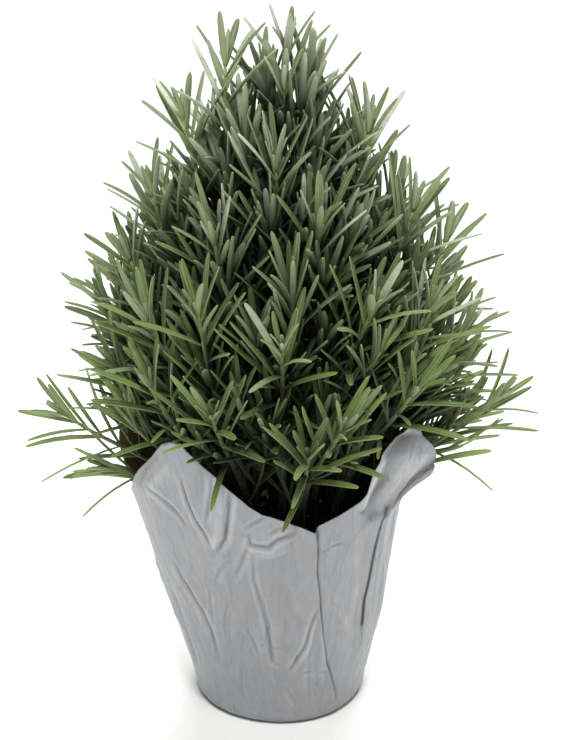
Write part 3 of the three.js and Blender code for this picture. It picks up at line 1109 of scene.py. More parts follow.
        # most just above the round foot, half as much at the floor, and less with the height
        pressed = np.exp(-((((a - at + 180) % 360 - 180) / spread) ** 2)) * np.clip(1 - z / high, 0, 1) ** 1.3
        pressed = pressed * (0.5 + 0.5 * np.clip(z / self.round_height, 0, 1))
        outer = self.radius(a, z, self.cut) + (moved + crumple) * stiff - most * pressed
        sheets = []
        for inset in (0.0, self.paper):
            reach, turn = outer - inset, np.radians(a)
            place = [self.middle(z) + reach * np.cos(turn), reach * np.sin(turn), np.maximum(z, inset)]
            sheets.append(np.stack(place, 2))
        # up the outer face, over the edge and down the inner one
        form = spun([*sheets[0], *sheets[1][::-1]], 0, self.paper)
        levels, count = z.shape
        picks = ([0] * levels + [1] * (levels - 1) + [0, 1]) * count
        # the painted highlight and shade of the folds, which the outer face's material reads as its fold mark
        marks = np.clip(painted_light * stiff, -1, 1).reshape(-1)
        fold = np.concatenate([marks, np.zeros(levels * count + 2)])
        papers = [face.material(), inside.material()]
        piece = make_piece("wrap_sheet", form, papers, {"fold": fold}, picks)
        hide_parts("paper_wrap")
        return [piece]


# The folds at the front, one by one: kind, width and depth in mm, strength of painted highlight and shade,
# and the line's azimuths in degrees and heights.
FRONT_FOLDS = (
    # the sheet's own lap at the front, and the fold at the front right corner, with painted shade beside each
    # step
    (Fold.LAP, 16, 1.3, 0, (
        (-69.3, 118), (-69, 105), (-69.3, 94), (-67.9, 82.6), (-67.1, 70.3), (-65.7, 59.5), (-64, 46.7),
        (-62.2, 36.8), (-57.8, 24.8), (-52.3, 10.5),
    )),
    (Fold.LAP, 8, -1.1, 0, (
        (-31.8, 118), (-32.6, 109), (-34, 100.5), (-35, 82.5), (-36.5, 66.5), (-36.5, 52),
    )),
    # the corner's tongue: its edge curls forward, its middle is hollow, and it folds back at the right;
    # painted highlight along the curled edge, and painted shade over the middle, the tip and the strip beyond
    # the fold
    (Fold.RIDGE, 5.5, 1.6, 1.35, ((-47.6, 122), (-46.2, 131), (-43.6, 145), (-42, 153))),
    (Fold.HOLLOW, 7, 2.4, 0.6, ((-38.4, 114), (-38.6, 130), (-38.6, 146), (-37, 166))),
    (Fold.HOLLOW, 4, 0.4, 0.35, ((-47, 120), (-42, 131), (-36, 138))),
    (Fold.HOLLOW, 5, 0.2, 0.35, ((-43, 154), (-39, 162), (-35, 168))),
    (Fold.RIDGE, 1.8, 1.8, 0.5, ((-31.4, 156), (-30.6, 143), (-30, 131), (-31, 119), (-32, 112))),
    (Fold.VALLEY, 5.5, 1.6, 1.7, ((-26.8, 154), (-26.6, 141), (-27.2, 130), (-29, 116))),
    # painted shade only: these two hollows have next to no depth, and darken the strip where the sheet turns
    # back
    (Fold.HOLLOW, 9, 0.1, 1.1, ((-18, 150), (-19, 138), (-21.5, 126), (-26, 114))),
    (Fold.HOLLOW, 9, 0.0, 0.9, ((-6, 150), (-8, 138), (-12, 126), (-17, 114))),
    # the front left corner's edge curls back, with painted shade along the curl
    (Fold.VALLEY, 5, 0.6, 0.5, ((-148, 131), (-139, 144), (-129, 157))),
    (Fold.RIDGE, 3, 0.8, 0.3, ((-144, 126), (-135, 140), (-124, 154))),
    # folds that run down from the front left corner
    (Fold.VALLEY, 1.7, 0.9, 0.8, ((-142, 134.5), (-136, 129), (-130, 123.5), (-124, 116.5))),
    (Fold.VALLEY, 1.4, 1.0, 1.0, ((-121.6, 147), (-121, 134.5), (-119, 124), (-115.5, 116), (-113.5, 109))),
    (Fold.VALLEY, 1.1, 0.5, 0.75, ((-108.5, 151), (-109, 142.5), (-111.5, 131), (-113.5, 122.5))),
    (Fold.RIDGE, 4.0, 1.4, 0.55, ((-105.8, 147), (-107.4, 132), (-110, 118), (-112, 107))),
    (Fold.VALLEY, 1.6, 1.1, 0.95, ((-102.6, 141), (-104.5, 128), (-107, 115), (-111, 106.5))),
    # and below the front edge
    (Fold.VALLEY, 1.2, 0.6, 0.5, ((-100, 119), (-94.5, 123.5), (-89.5, 127))),
    (Fold.VALLEY, 1.4, 0.8, 0.75, ((-97.5, 117), (-97, 111), (-89.5, 110.5), (-85.5, 115), (-77, 119.5))),
    (Fold.VALLEY, 1.0, 0.5, 0.45, ((-90, 117), (-85, 121), (-80, 123))),
    (Fold.RIDGE, 3.4, 0.7, 0.3, ((-97, 106), (-90, 105), (-80, 110))),
    (Fold.VALLEY, 1.4, 0.6, 0.5, ((-98, 113), (-99, 107.5), (-102.5, 99), (-106, 90.5))),
    (Fold.VALLEY, 1.2, 0.6, 0.6, (
        (-96.4, 107), (-97.5, 91), (-95.2, 76), (-93.5, 59.5), (-93, 41), (-86.5, 37.5),
    )),
    (Fold.VALLEY, 1.7, 0.9, 0.7, (
        (-139.5, 92), (-138, 82.5), (-134.5, 76), (-129.5, 66), (-126, 54), (-125.5, 36),
    )),
    (Fold.VALLEY, 1.2, 0.5, 0.4, ((-120, 84), (-122, 71), (-124.5, 58))),
    (Fold.VALLEY, 1.1, 0.4, 0.45, ((-105, 62), (-102.5, 53), (-99.5, 44))),
    (Fold.VALLEY, 1.2, 0.5, 0.35, ((-105.5, 102.5), (-110.5, 97.5), (-115.5, 87))),
    (Fold.VALLEY, 1.2, 0.4, 0.35, ((-110, 40), (-113, 26), (-114, 13))),
    (Fold.VALLEY, 1.2, 0.4, 0.4, ((-87.5, 25), (-84, 19), (-80, 12))),
    (Fold.VALLEY, 1.1, 0.4, 0.45, ((-77, 33.5), (-62, 31.5))),
    (Fold.VALLEY, 1.0, 0.4, 0.45, ((-66.5, 104), (-62, 107.5), (-56, 108))),
    # folds that fan out from the lap
    (Fold.VALLEY, 1.3, 0.8, 0.85, ((-68.1, 73), (-72, 59.5), (-74, 50), (-80, 40.5), (-84, 35))),
    (Fold.VALLEY, 1.0, 0.5, 0.5, ((-67.8, 66), (-70, 53), (-73.5, 40))),
    (Fold.VALLEY, 1.0, 0.35, 0.35, ((-72.5, 42), (-73, 26), (-72, 10))),
    (Fold.RIDGE, 5, 0.5, 0.2, ((-50, 118), (-46, 80), (-47, 40))),
)


# How many small folds the press left all round, the back corners and how many folds run down from each,
# and the valleys between the corners and how many folds each has: azimuths in degrees
PRESS_FOLDS = 54
BACK_CORNERS, CORNER_FOLDS = (45, 140), 5
VALLEYS, VALLEY_FOLDS = (-2, 90, -176), 4


def wrap_creases() -> list[Crease]:
    """Gives the wrap's folds: the ones at the front, and seeded ones all round.

    Returns:
        The folds.
    """
    folds = [Crease(kind, list(line), width, depth, mark) for kind, width, depth, mark, line in FRONT_FOLDS]
    # seeded folds, each with faint painted highlight on a ridge and painted shade in a valley
    for n in range(PRESS_FOLDS):
        at = n * 360 / PRESS_FOLDS + jitter(3.5, n, 71) - 180
        seen = -150 < at < -30
        low = 14 + 60 * draw(n, 72)
        high = min(low + 26 + 46 * draw(n, 73), 112)
        lean = jitter(8, n, 74)
        kind = Fold.VALLEY if draw(n, 75) < 0.6 else Fold.RIDGE
        depth = (0.3 if seen else 0.8) * (0.6 + 0.8 * draw(n, 76))
        line = [(at, low), (at + lean * 0.4 + jitter(1, n, 77), (low + high) / 2), (at + lean, high)]
        folds.append(Crease(kind, line, 1.6 + 2.2 * draw(n, 78), depth, 0.2))
    for key, corner in enumerate(BACK_CORNERS, 1):
        for n in range(CORNER_FOLDS):
            spread = (n - 2) * 7.5 + jitter(2, key, n, 81)
            foot = (corner + spread * 1.4, 112 + jitter(6, key, n, 82))
            line = [(corner + spread * 0.5, 141 - abs(n - 2) * 7), foot]
            folds.append(Crease(Fold.VALLEY if n % 2 else Fold.RIDGE, line, 2.6, 1.3, 0.5))
    for key, valley in enumerate(VALLEYS, 1):
        for n in range(VALLEY_FOLDS):
            at = valley + (n - 1.5) * 8 + jitter(2, key, n, 83)
            line = [(at, 113), (at + jitter(5, key, n, 84), 92 + jitter(8, key, n, 85))]
            folds.append(Crease(Fold.VALLEY, line, 2.0, 1.0, 0.4))
    # the lap of the back seam, with painted shade beside its step
    folds.append(Crease(Fold.LAP, [(96, 116), (98, 80), (95, 44), (90, 12)], 16, 1.1))
    return folds


# ---- Lavender ----


# How far the crown reaches from its axis at heights.
CROWN = np.array([
    (112, 84), (135, 104), (150, 118), (165, 120), (180, 112), (209, 106), (222, 98), (248, 92), (262, 84),
    (283, 64), (300, 58), (315, 50), (337, 34), (352, 24), (364, 12),
])


def depth_in_crown(points: Array, widest: float = 115.0) -> Array:
    """Gives how deep in the crown points are.

    Args:
        points: with x, y and z along the last axis.
        widest: the most that the crown's reach counts for, in mm.

    Returns:
        0 within 7 mm of the crown's outside, and up to 1 at its middle.
    """
    reach = np.interp(points[..., 2], CROWN[:, 0], CROWN[:, 1])
    inward = 0.82 * (np.minimum(reach, widest) - np.hypot(points[..., 0], points[..., 1]))
    return np.clip((inward - 7) / 27, 0, 1)


@dataclass
class Leaf:
    """One blade: its spine from the root, the directions of its blade, and its marks."""

    root: Array
    heading: Array
    across: Array
    upper: Array
    length: float
    width: float
    bend: float
    sag: float
    age: float
    tone: float
    twist: float = 0.0
    sweep: float = 0.0
    dry: float = 0.0
    # narrow at the root, nearly even along its middle and blunt at the tip: places and shares of the width
    outline: tuple = (
        (0, 0.06, 0.2, 0.42, 0.62, 0.8, 0.91, 0.97, 1), (0.4, 0.55, 0.82, 0.98, 1.0, 0.92, 0.74, 0.52, 0.2)
    )
    # how wide a blade is that has its full thickness, and where along it a dry tip starts
    full_width: float = 3.4
    dry_from: float = 0.86

    def spine(self, u: float | Array) -> Array:
        """Gives points of the spine.

        Args:
            u: shares of the leaf's length.

        Returns:
            A point for each share.
        """
        u = np.asarray(u, float)[..., None]
        return (
            self.root
            + self.heading * self.length * u
            - self.upper * 0.5 * self.bend * u * u
            - UP * self.sag * u * u
            + self.across * self.sweep * u * u
        )

    def mesh(self, stations: Array, section: Array) -> tuple[tuple[Array, list], dict[str, Array]]:
        """Builds the blade: a closed form with a rounded tip, a groove over its rib and curled margins.

        Args:
            stations: shares of the length where it has a ring.
            section: its points: across from -1 to 1, height in mm, underside, and rib or margin.

        Returns:
            Its points and faces, and its marks.
        """
        line = self.spine(stations)
        share = np.interp(stations, self.outline[0], self.outline[1])
        turn = self.twist * stations
        across = self.across * np.cos(turn)[:, None] + self.upper * np.sin(turn)[:, None]
        upper = self.upper * np.cos(turn)[:, None] - self.across * np.sin(turn)[:, None]
        half = self.width / 2 * share
        thick = (0.35 + 0.65 * share) * min(1.0, self.width / self.full_width)
        points = (
            line[:, None]
            + across[:, None] * (half[:, None] * section[None, :, 0])[..., None]
            + upper[:, None] * (thick[:, None] * section[None, :, 1])[..., None]
        )
        flat = np.ones(points.shape[:2])
        marks = {
            "age": flat * self.age,
            "tone": flat * self.tone,
            "rib": flat * section[None, :, 3],
            "under": flat * section[None, :, 2],
            "dry": flat * np.clip((stations - self.dry_from) / (1 - self.dry_from), 0, 1)[:, None] * self.dry,
            "foot": flat * np.clip(1 - stations / 0.5, 0, 1)[:, None],
            "deep": depth_in_crown(points),
        }
        return tube(points), {label: values.reshape(-1) for label, values in marks.items()}


# Shapes of a blade: the shares of its length where it has a ring, and the ring's section, with each point's
# place across, height in mm, underside, and rib or margin. The fine one has a grooved top,
# margins that curl under and a rib below; the plain one is for short and hidden leaves.
FINE_SHAPE = (np.array([0, 0.06, 0.2, 0.42, 0.62, 0.8, 0.91, 0.97, 1.0]), np.array([
    (-1.0, -0.7, 0.3, 0.75), (-0.72, -0.08, 0, 0.2), (-0.3, 0.06, 0, 0), (0.0, -0.34, 0, 0.7),
    (0.3, 0.06, 0, 0), (0.72, -0.08, 0, 0.2), (1.0, -0.7, 0.3, 0.75), (0.7, -0.98, 1, 0),
    (0.24, -0.8, 1, 0.2), (0.0, -1.35, 1, 0.8), (-0.24, -0.8, 1, 0.2), (-0.7, -0.98, 1, 0),
]))
PLAIN_SHAPE = (np.array([0, 0.12, 0.36, 0.64, 0.86, 0.96, 1.0]), np.array([
    (-1.0, -0.6, 0.3, 0.5), (-0.5, 0.02, 0, 0), (0.0, -0.28, 0, 0.7), (0.5, 0.02, 0, 0),
    (1.0, -0.6, 0.3, 0.5), (0.55, -0.9, 1, 0), (0.0, -1.2, 1, 0.7), (-0.55, -0.9, 1, 0),
]))
# What a leafy stem's material reads at each point
LEAF_MARKS = ("age", "tone", "rib", "under", "foot", "dry", "deep")


@dataclass
class Place:
    """A place on a stem: where it is, its direction, and the two directions across it."""

    at: Array
    along: Array
    out: Array
    side: Array


@dataclass
class StemLine:
    """The line that a stem or shoot grows along: four handles, a sway out of plane and a twist."""

    index: int
    handles: Array
    across: Array
    sway: float
    twist: float
    root_radius: float
    tip_radius: float

    def curve(self, t: Array) -> Array:
        """Gives points of the handles' curve at shares of the way, one a row."""
        a, b, c, d = self.handles
        return (1 - t) ** 3 * a + 3 * (1 - t) ** 2 * t * b + 3 * (1 - t) * t * t * c + t**3 * d

    def point(self, share: float | Array) -> Array:
        """Gives points of the line at shares of the way."""
        t = np.asarray(share, float)[..., None]
        return self.curve(t) + self.across * self.sway * np.sin(np.pi * t)

    @property
    def length(self) -> float:
        """The line's length, in mm, without its sway."""
        line = self.curve(np.linspace(0, 1, 201)[:, None])
        return float(np.linalg.norm(np.diff(line, axis=0), axis=1).sum())

    def place(self, share: float) -> Place:
        """Gives a place on the line, with its directions.

        Args:
            share: how far along it is, from 0 to 1.

        Returns:
            The place.
        """
        ahead, behind = self.point(min(1, share + 0.01)), self.point(max(0, share - 0.01))
        along = unit(ahead - behind)
        out = turned(unit(np.cross(self.across, along)), along, self.twist)
        return Place(self.point(share), along, out, np.cross(along, out))

    def mesh(self, steps: int, low: Array | None = None) -> tuple[Array, list]:
        """Builds the square stem with rounded corners.

        Args:
            steps: how many rings it has.
            low: a point straight below the root where it starts, if it isn't the root.

        Returns:
            Points and faces.
        """
        corners = [(1, 0), (0.62, 0.62), (0, 1), (-0.62, 0.62)]
        corners += [(-x, -y) for x, y in corners]
        rings = []
        for step in range(steps + 1):
            share = step / steps
            spot = self.place(share)
            radius = self.root_radius + (self.tip_radius - self.root_radius) * share
            rings.append([spot.at + spot.out * radius * x + spot.side * radius * y for x, y in corners])
        if low is not None:
            rings.insert(0, [p + (low - self.handles[0]) for p in rings[0]])
        return tube(np.array(rings))


class Crowd:
    """Keeps count of where leaves already are, so that new ones find room."""

    def __init__(self, cell: float) -> None:
        """Starts an empty crowd.

        Args:
            cell: the size of its cells, in mm.
        """
        self.cell = cell
        self.cells: dict[tuple[int, int, int], list] = {}

    def key(self, p: Array) -> tuple[int, int, int]:
        """Gives the cell that a point is in."""
        return tuple(int(c) for c in np.floor(p / self.cell))

    def add(self, points: Array, radius: float, owner: int) -> None:
        """Adds a leaf's points.

        Args:
            points: along its spine.
            radius: how far it reaches from them.
            owner: the stem that it belongs to.
        """
        for p in points:
            self.cells.setdefault(self.key(p), []).append((p[0], p[1], p[2], radius, owner))

    def blocked(self, points: Array, radius: float, owner: int, own: float) -> bool:
        """Tells whether points run into what is there.

        Args:
            points: along a spine.
            radius: how far it reaches from them.
            owner: the stem that it belongs to.
            own: how much nearer it may come to its own stem's leaves, as a share.

        Returns:
            True where they do.
        """
        for p in points:
            i, j, k = self.key(p)
            for x in (i - 1, i, i + 1):
                for y in (j - 1, j, j + 1):
                    for z in (k - 1, k, k + 1):
                        for q in self.cells.get((x, y, z), ()):
                            least = (radius + q[3]) * (own if q[4] == owner else 1.0)
                            gap = (p[0] - q[0]) ** 2 + (p[1] - q[1]) ** 2 + (p[2] - q[2]) ** 2
                            if gap < least * least:
                                return True
        return False


# How a leaf may turn to find room: degrees round its stem, and degrees closer in to it
WAYS = ((0, 0), (18, 0), (-18, 0), (34, 0), (-34, 0), (0, 12), (20, 12), (-20, 12))


@dataclass(frozen=True)
class Habit:
    """How a kind of leaf pair grows.

    It holds the radius of the stem that bears it, the leaves' width beside a full-grown one's (or nothing,
    where their length decides), how near they may come to their own stem's leaves as a share, and the ways
    they may turn.
    """

    stem_radius: float
    width: float | None = 1.0
    own: float = 0.45
    ways: tuple = WAYS


LOW_HABIT = Habit(1.1)
SHEAF_HABIT = Habit(0.6, 0.94, 0.25, ((45, 0), (70, 0), (20, 0)))
BRANCH_TIP_HABIT = Habit(0.75, 0.65, 0.3)
BRANCH_TOP_HABIT = Habit(0.75, 1.0, 0.3)
BRANCH_HABIT = Habit(0.75, 1.0, 0.5)
AXIL_HABIT = Habit(0.5, None, 0.45, ((0, 0), (24, 0), (-24, 0)))


@dataclass(frozen=True)
class Zone:
    """Air that stays clear: beyond a reach, between two azimuths in degrees and below a height."""

    reach: float
    first: float
    last: float
    height: float

    def holds(self, p: Array) -> bool:
        """Tells whether a point is in it."""
        azimuth = math.degrees(math.atan2(p[1], p[0]))
        return math.hypot(p[0], p[1]) > self.reach and self.first < azimuth < self.last and p[2] < self.height


@dataclass
class Lavender:
    """The plant: leafy stems, each with pairs of leaves, tufts in their axils and side shoots."""

    pot: NurseryPot
    soil: SoilBed
    wrap: PaperWrap
    # where each stem ends: azimuth in degrees, reach from the axis and height
    tips: tuple = (
        (-60, 5, 338), (-174, 27, 333), (50, 20, 322),
        (-174, 47, 308), (-7, 42, 301), (-95, 35, 290), (95, 32, 304), (140, 44, 288),
        (-71, 53, 262), (-171, 63, 271), (-120, 62, 258), (-17, 66, 266),
        (58, 52, 274), (22, 60, 258), (103, 64, 256), (150, 68, 252),
        (-166, 76, 241), (-139, 84, 222), (-118, 82, 232), (-90, 86, 219), (-58, 80, 233), (-4, 80, 246),
        (-34, 84, 226), (76, 84, 234), (42, 82, 230), (128, 84, 230),
        (180, 88, 214), (-17, 92, 206), (-111, 90, 184), (-73, 94, 180), (-47, 92, 192), (-158, 86, 190),
        (-132, 92, 194), (98, 92, 196), (18, 90, 200), (156, 88, 206), (62, 94, 188),
        (-173, 108, 158), (-12, 106, 168), (-82, 87, 165), (-166, 86, 132),
        (138, 98, 178), (92, 98, 154), (28, 98, 164),
    )
    root_radius: float = 1.7
    tip_radius: float = 0.8
    root_reach: float = 5
    root_spread: float = 0.27
    root_low: float = 12
    rise: float = 0.4
    settle: float = 0.35
    lowest: float = 120
    topmost: float = 350
    straighten: float = 0.45
    stray: float = 6
    sway: float = 4
    twist: float = 20
    root_depth: float = 14
    # leaf pairs: distance below the stem's tip, length, and lean from the stem in degrees
    pairs: tuple = ((1, 25, 14), (6, 32, 20), (13, 37, 27), (21, 41, 33), (31, 42, 40), (42, 38, 47))
    low_pairs: tuple = (
        (54, 38, 42), (67, 37, 44), (81, 35, 46), (96, 33, 48), (112, 31, 50), (129, 28, 52), (147, 26, 54),
    )
    leaf_width: float = 4.4
    slim: float = 0.82
    curl: float = 14
    droop: float = 0.1
    sunk: float = 1.8
    clearance: float = 0.35
    # how far single leaves stray from the rule: in turn, lean and curl in degrees, the rest as shares
    turn_stray: float = 12
    lean_stray: float = 6
    curl_stray: float = 10
    length_stray: float = 0.12
    width_stray: float = 0.1
    age_stray: float = 0.14
    twist_stray: float = 0.5
    sweep_stray: float = 0.06
    # leaves are young above the first height, in mm, and old this much lower
    young_above: float = 300
    old_over: float = 190
    # the sheaf that stands inside the uppermost pairs, by the same three numbers
    sheaf: tuple = ((3, 33, 8), (8, 40, 12), (14, 45, 15), (22, 49, 18), (31, 52, 21))
    # the young leaves that close each tip: length and lean, all this far below it and this wide
    closing: tuple = ((17, 7), (15, 10), (10, 4), (8, 6))
    closing_below: float = 0.4
    closing_width: float = 2.6
    # a tuft's pairs: distance below its tip, share of its full length, and lean
    tuft: tuple = ((0.3, 0.5, 8), (4, 0.75, 13), (11, 0.95, 18), (20, 1.0, 24), (31, 1.0, 29), (42, 0.95, 33))
    # branches: how many tips are tried, the least room between two, the leaves' lean beside a stem's,
    # and how far a branch may reach and likes to reach
    tries: int = 2600
    tip_room: float = 21.0
    branch_lean: float = 0.76
    branch_reach: tuple = (38, 135)
    branch_best: float = 78
    worst_cost: float = 110
    # a leaf takes up this share of its width on each side; shorter ones than this are built plain
    body: float = 0.36
    plain_length: float = 26
    # the wrap's front right corner stands clear of leaves' tips, and of leaves that start beyond it
    clear_tips: tuple = (Zone(76, -64, -28, 190), Zone(56, -64, -18, 174))
    clear_roots: Zone = Zone(66, -64, -28, 174)
    # at the left, between these azimuths and beyond this reach, leaves stay above the first height, and
    # tips stay above the second one all round. Each is followed by how much more it is at the very front.
    thin_left: tuple = (172, 232, 46)
    left_low: tuple = (152, 30)
    tip_low: tuple = (126, 34)
    rim_share: float = 0.95
    highest: float = 355
    # branches' tips: the lowest, how much more at the very front, and the range of heights above it
    branch_low: tuple = (150, 22)
    branch_range: float = 182
    # a stem turns to bark below this height, over this many mm
    bark_from: float = 140
    bark_over: float = 45
    wood_widest: float = 104.0

    def stem(self, index: int) -> StemLine:
        """Gives the line of a main stem.

        Args:
            index: which stem, from 0.

        Returns:
            Its line.
        """
        azimuth, reach, height = self.tips[index]
        turn = math.radians(azimuth)
        outward = around(1.0, turn)
        across = np.cross(UP, outward)
        upright = ((height - self.lowest) / (self.topmost - self.lowest)) ** self.straighten
        lean = math.radians(90 * (1 - upright) + jitter(self.stray, index, 1))
        root_reach = self.root_reach + self.root_spread * reach + self.root_low * (1 - upright)
        root = outward * root_reach + UP * self.soil.height(root_reach)
        tip = outward * reach + UP * height
        way = float(np.linalg.norm(tip - root))
        heading = outward * math.sin(lean) + UP * math.cos(lean)
        handles = np.array([root, root + UP * self.rise * way, tip - heading * self.settle * way, tip])
        sway, twist = jitter(self.sway, index, 2), math.radians(jitter(self.twist, index, 3))
        return StemLine(index, handles, across, sway, twist, self.root_radius, self.tip_radius)

    def leaf(
        self, line: StemLine, rule: tuple, pair: int, side: int, way: tuple, keys: tuple, stem_radius: float
    ) -> Leaf:
        """Gives one leaf of a pair.

        Args:
            line: the stem or shoot.
            rule: distance below its tip, length and lean.
            pair: which pair it is in.
            side: 0 or 1.
            way: how it is turned to find room: degrees round the stem, and closer in to it.
            keys: what its draws depend on.
            stem_radius: the radius of the stem that it leaves.

        Returns:
            The leaf.
        """
        below, length, lean = rule
        turn = math.radians(90 * pair + 180 * side + 45 + jitter(self.turn_stray, *keys, 1) + way[0])
        spread = math.radians(lean + jitter(self.lean_stray, *keys, 2) - way[1])
        length = length * (1 + jitter(self.length_stray, *keys, 3))
        spot = line.place(1 - below / line.length)
        away = spot.out * math.cos(turn) + spot.side * math.sin(turn)
        heading = spot.along * math.cos(spread) + away * math.sin(spread)
        across = unit(np.cross(spot.along, away))
        upper = np.cross(heading, across)
        bend = math.radians(self.curl + jitter(self.curl_stray, *keys, 4)) * length
        sag = self.droop * length * (1 - heading[2])
        depth = min(1.2 * stem_radius, self.sunk * math.sin(spread))
        root = spot.at + away * (0.7 * stem_radius - depth)
        width = self.leaf_width * (1 + jitter(self.width_stray, *keys, 5))
        low = np.clip((self.young_above - root[2]) / self.old_over, 0, 1)
        return Leaf(
            root, heading, across, upper, length, width, bend, sag,
            age=float(np.clip(0.12 + 0.75 * low + jitter(self.age_stray, *keys, 6), 0, 1)),
            tone=draw(*keys, 7),
            twist=jitter(self.twist_stray, *keys, 8),
            sweep=jitter(self.sweep_stray, *keys, 9) * length,
            # one leaf in five or so has a dry tip
            dry=max(0.0, 3.2 * draw(*keys, 10) - 2.5),
        )

    def make_slim(self, leaf: Leaf, share: float = 1.0, loose: bool = True) -> None:
        """Gives a leaf its drawn width: the room it takes is wider, and low leaves are the narrowest.

        Args:
            leaf: the leaf.
            share: how wide it is beside a full-grown one.
            loose: whether it may also curl and sweep aside more than the solids' leaves do.
        """
        if loose:
            leaf.bend *= 1 + 1.7 * leaf.twist
            leaf.sweep *= 2.2
        leaf.width *= share * self.slim * (0.86 + 0.14 * float(np.clip((leaf.root[2] - 160) / 60, 0, 1)))

    def gaps(self, points: Array, a: Array, b: Array) -> Array:
        """Gives the shortest distances between a track's segments and others.

        Args:
            points: the track's points.
            a: the other segments' starts.
            b: their ends.

        Returns:
            A distance for each pair of segments.
        """
        u = (points[1:] - points[:-1])[:, None]
        v = (b - a)[None]
        w = points[:-1][:, None] - a[None]
        uu, uv, vv = (u * u).sum(-1), (u * v).sum(-1), (v * v).sum(-1)
        uw, vw = (u * w).sum(-1), (v * w).sum(-1)
        spread = uu * vv - uv * uv
        s = np.where(spread > 1e-9, np.clip((uv * vw - vv * uw) / np.maximum(spread, 1e-12), 0, 1), 0)
        t = np.clip((uv * s + vw) / vv, 0, 1)
        s = np.clip((uv * t - uw) / uu, 0, 1)
        return np.linalg.norm(w + u * s[..., None] - v * t[..., None], axis=-1)

    def main_leaves(self, lines: list[StemLine]) -> list[list[Leaf]]:
        """Gives the leaves that the solids have too, by the same rule.

        Args:
            lines: the main stems.

        Returns:
            Each stem's leaves.
        """
        starts, ends, radii, owners = [], [], [], []

        def record(points: Array, radius: float, owner: int) -> None:
            """Keeps a track's segments.

            Args:
                points: the track's points.
                radius: how far its stem or leaf reaches from them.
                owner: the stem that it belongs to.
            """
            starts.extend(points[:-1])
            ends.extend(points[1:])
            radii.extend([radius] * (len(points) - 1))
            owners.extend([owner] * (len(points) - 1))

        for line in lines:
            record(line.point(np.arange(9) / 8), self.root_radius, line.index)
        borne: list[list[Leaf]] = [[] for _ in lines]
        for pair, rule in enumerate(self.pairs):
            for line in lines:
                a, b = np.array(starts), np.array(ends)
                for side in (0, 1):
                    for way in WAYS:
                        keys = (line.index, 10 + 2 * pair + side)
                        leaf = self.leaf(line, rule, pair, side, way, keys, self.tip_radius)
                        radius = leaf.width / 2
                        if not self.in_the_open(leaf, radius):
                            continue
                        track = leaf.spine(np.array([0.05, 0.35, 0.7, 1]))
                        others = np.array(owners[: len(a)]) != line.index
                        least = radius + np.array(radii[: len(a)]) + self.clearance
                        if not (self.gaps(track, a, b) < least)[:, others].any():
                            record(track, radius, line.index)
                            borne[line.index].append(leaf)
                            break
        return borne

    def in_the_open(self, leaf: Leaf, radius: float) -> bool:
        """Tells whether a leaf stays out of the wrap and the pot.

        Args:
            leaf: the leaf.
            radius: how far it reaches from its spine.

        Returns:
            True where it does.
        """
        points = leaf.spine(np.arange(1, 11) / 10)
        return points[:, 2].min() >= self.pot.top + radius and not self.wrap.near(points, radius + 1)

    def inside(self, leaf: Leaf) -> bool:
        """Tells whether a leaf stays within the crown that the stems' tips make.

        Args:
            leaf: the leaf.

        Returns:
            True where it does.
        """
        tip = leaf.spine(1.0)
        reach = math.hypot(tip[0], tip[1])
        if any(zone.holds(tip) for zone in self.clear_tips) or self.clear_roots.holds(leaf.root):
            return False
        # the crown is open at the front, over the wrap's lowest edge, and thin at the left
        front = max(0.0, -tip[1] / max(reach, 1.0))
        body = leaf.spine(np.array([0.4, 0.6, 0.8, 1.0]))
        azimuth = np.degrees(np.arctan2(body[:, 1], body[:, 0])) % 360
        first, last, beyond = self.thin_left
        left = (azimuth > first) & (azimuth < last) & (np.hypot(body[:, 0], body[:, 1]) > beyond)
        if (left & (body[:, 2] < self.left_low[0] + self.left_low[1] * front)).any():
            return False
        rim = float(np.interp(tip[2] + 5, CROWN[:, 0], CROWN[:, 1]))
        low = self.tip_low[0] + self.tip_low[1] * front
        return tip[2] > low and reach < self.rim_share * rim and tip[2] < self.highest

    def try_leaf(self, crowd: Crowd, leaf: Leaf, owner: int, own: float = 0.45) -> bool:
        """Adds a leaf to the crowd if there is room for it.

        Args:
            crowd: what is there.
            leaf: the leaf.
            owner: its stem.
            own: how much nearer it may come to its own stem's leaves.

        Returns:
            True where it was added.
        """
        radius = self.body * leaf.width
        points = leaf.spine(np.linspace(0.3, 1, max(3, int(leaf.length / 6))))
        if not self.inside(leaf) or not self.in_the_open(leaf, leaf.width / 2):
            return False
        if crowd.blocked(points, radius, owner, own):
            return False
        crowd.add(points, radius, owner)
        return True

    def bear(
        self, crowd: Crowd, line: StemLine, rule: tuple, pair: int, keys: tuple, habit: Habit, owner: int
    ) -> list[Leaf]:
        """Grows a pair of leaves, each where it finds room.

        Args:
            crowd: where leaves already are.
            line: the stem or shoot.
            rule: distance below its tip, length and lean.
            pair: which pair it is.
            keys: what its draws depend on, the last one for the first side.
            habit: how this kind of leaf grows.
            owner: the stem's number in the crowd.

        Returns:
            The leaves that found room.
        """
        borne = []
        for side in (0, 1):
            for way in habit.ways:
                drawn = (*keys[:-1], keys[-1] + side)
                leaf = self.leaf(line, rule, pair, side, way, drawn, habit.stem_radius)
                short = 0.5 + 0.5 * min(1, leaf.length / 34)
                self.make_slim(leaf, short if habit.width is None else habit.width)
                if self.try_leaf(crowd, leaf, owner, habit.own):
                    borne.append(leaf)
                    break
        return borne

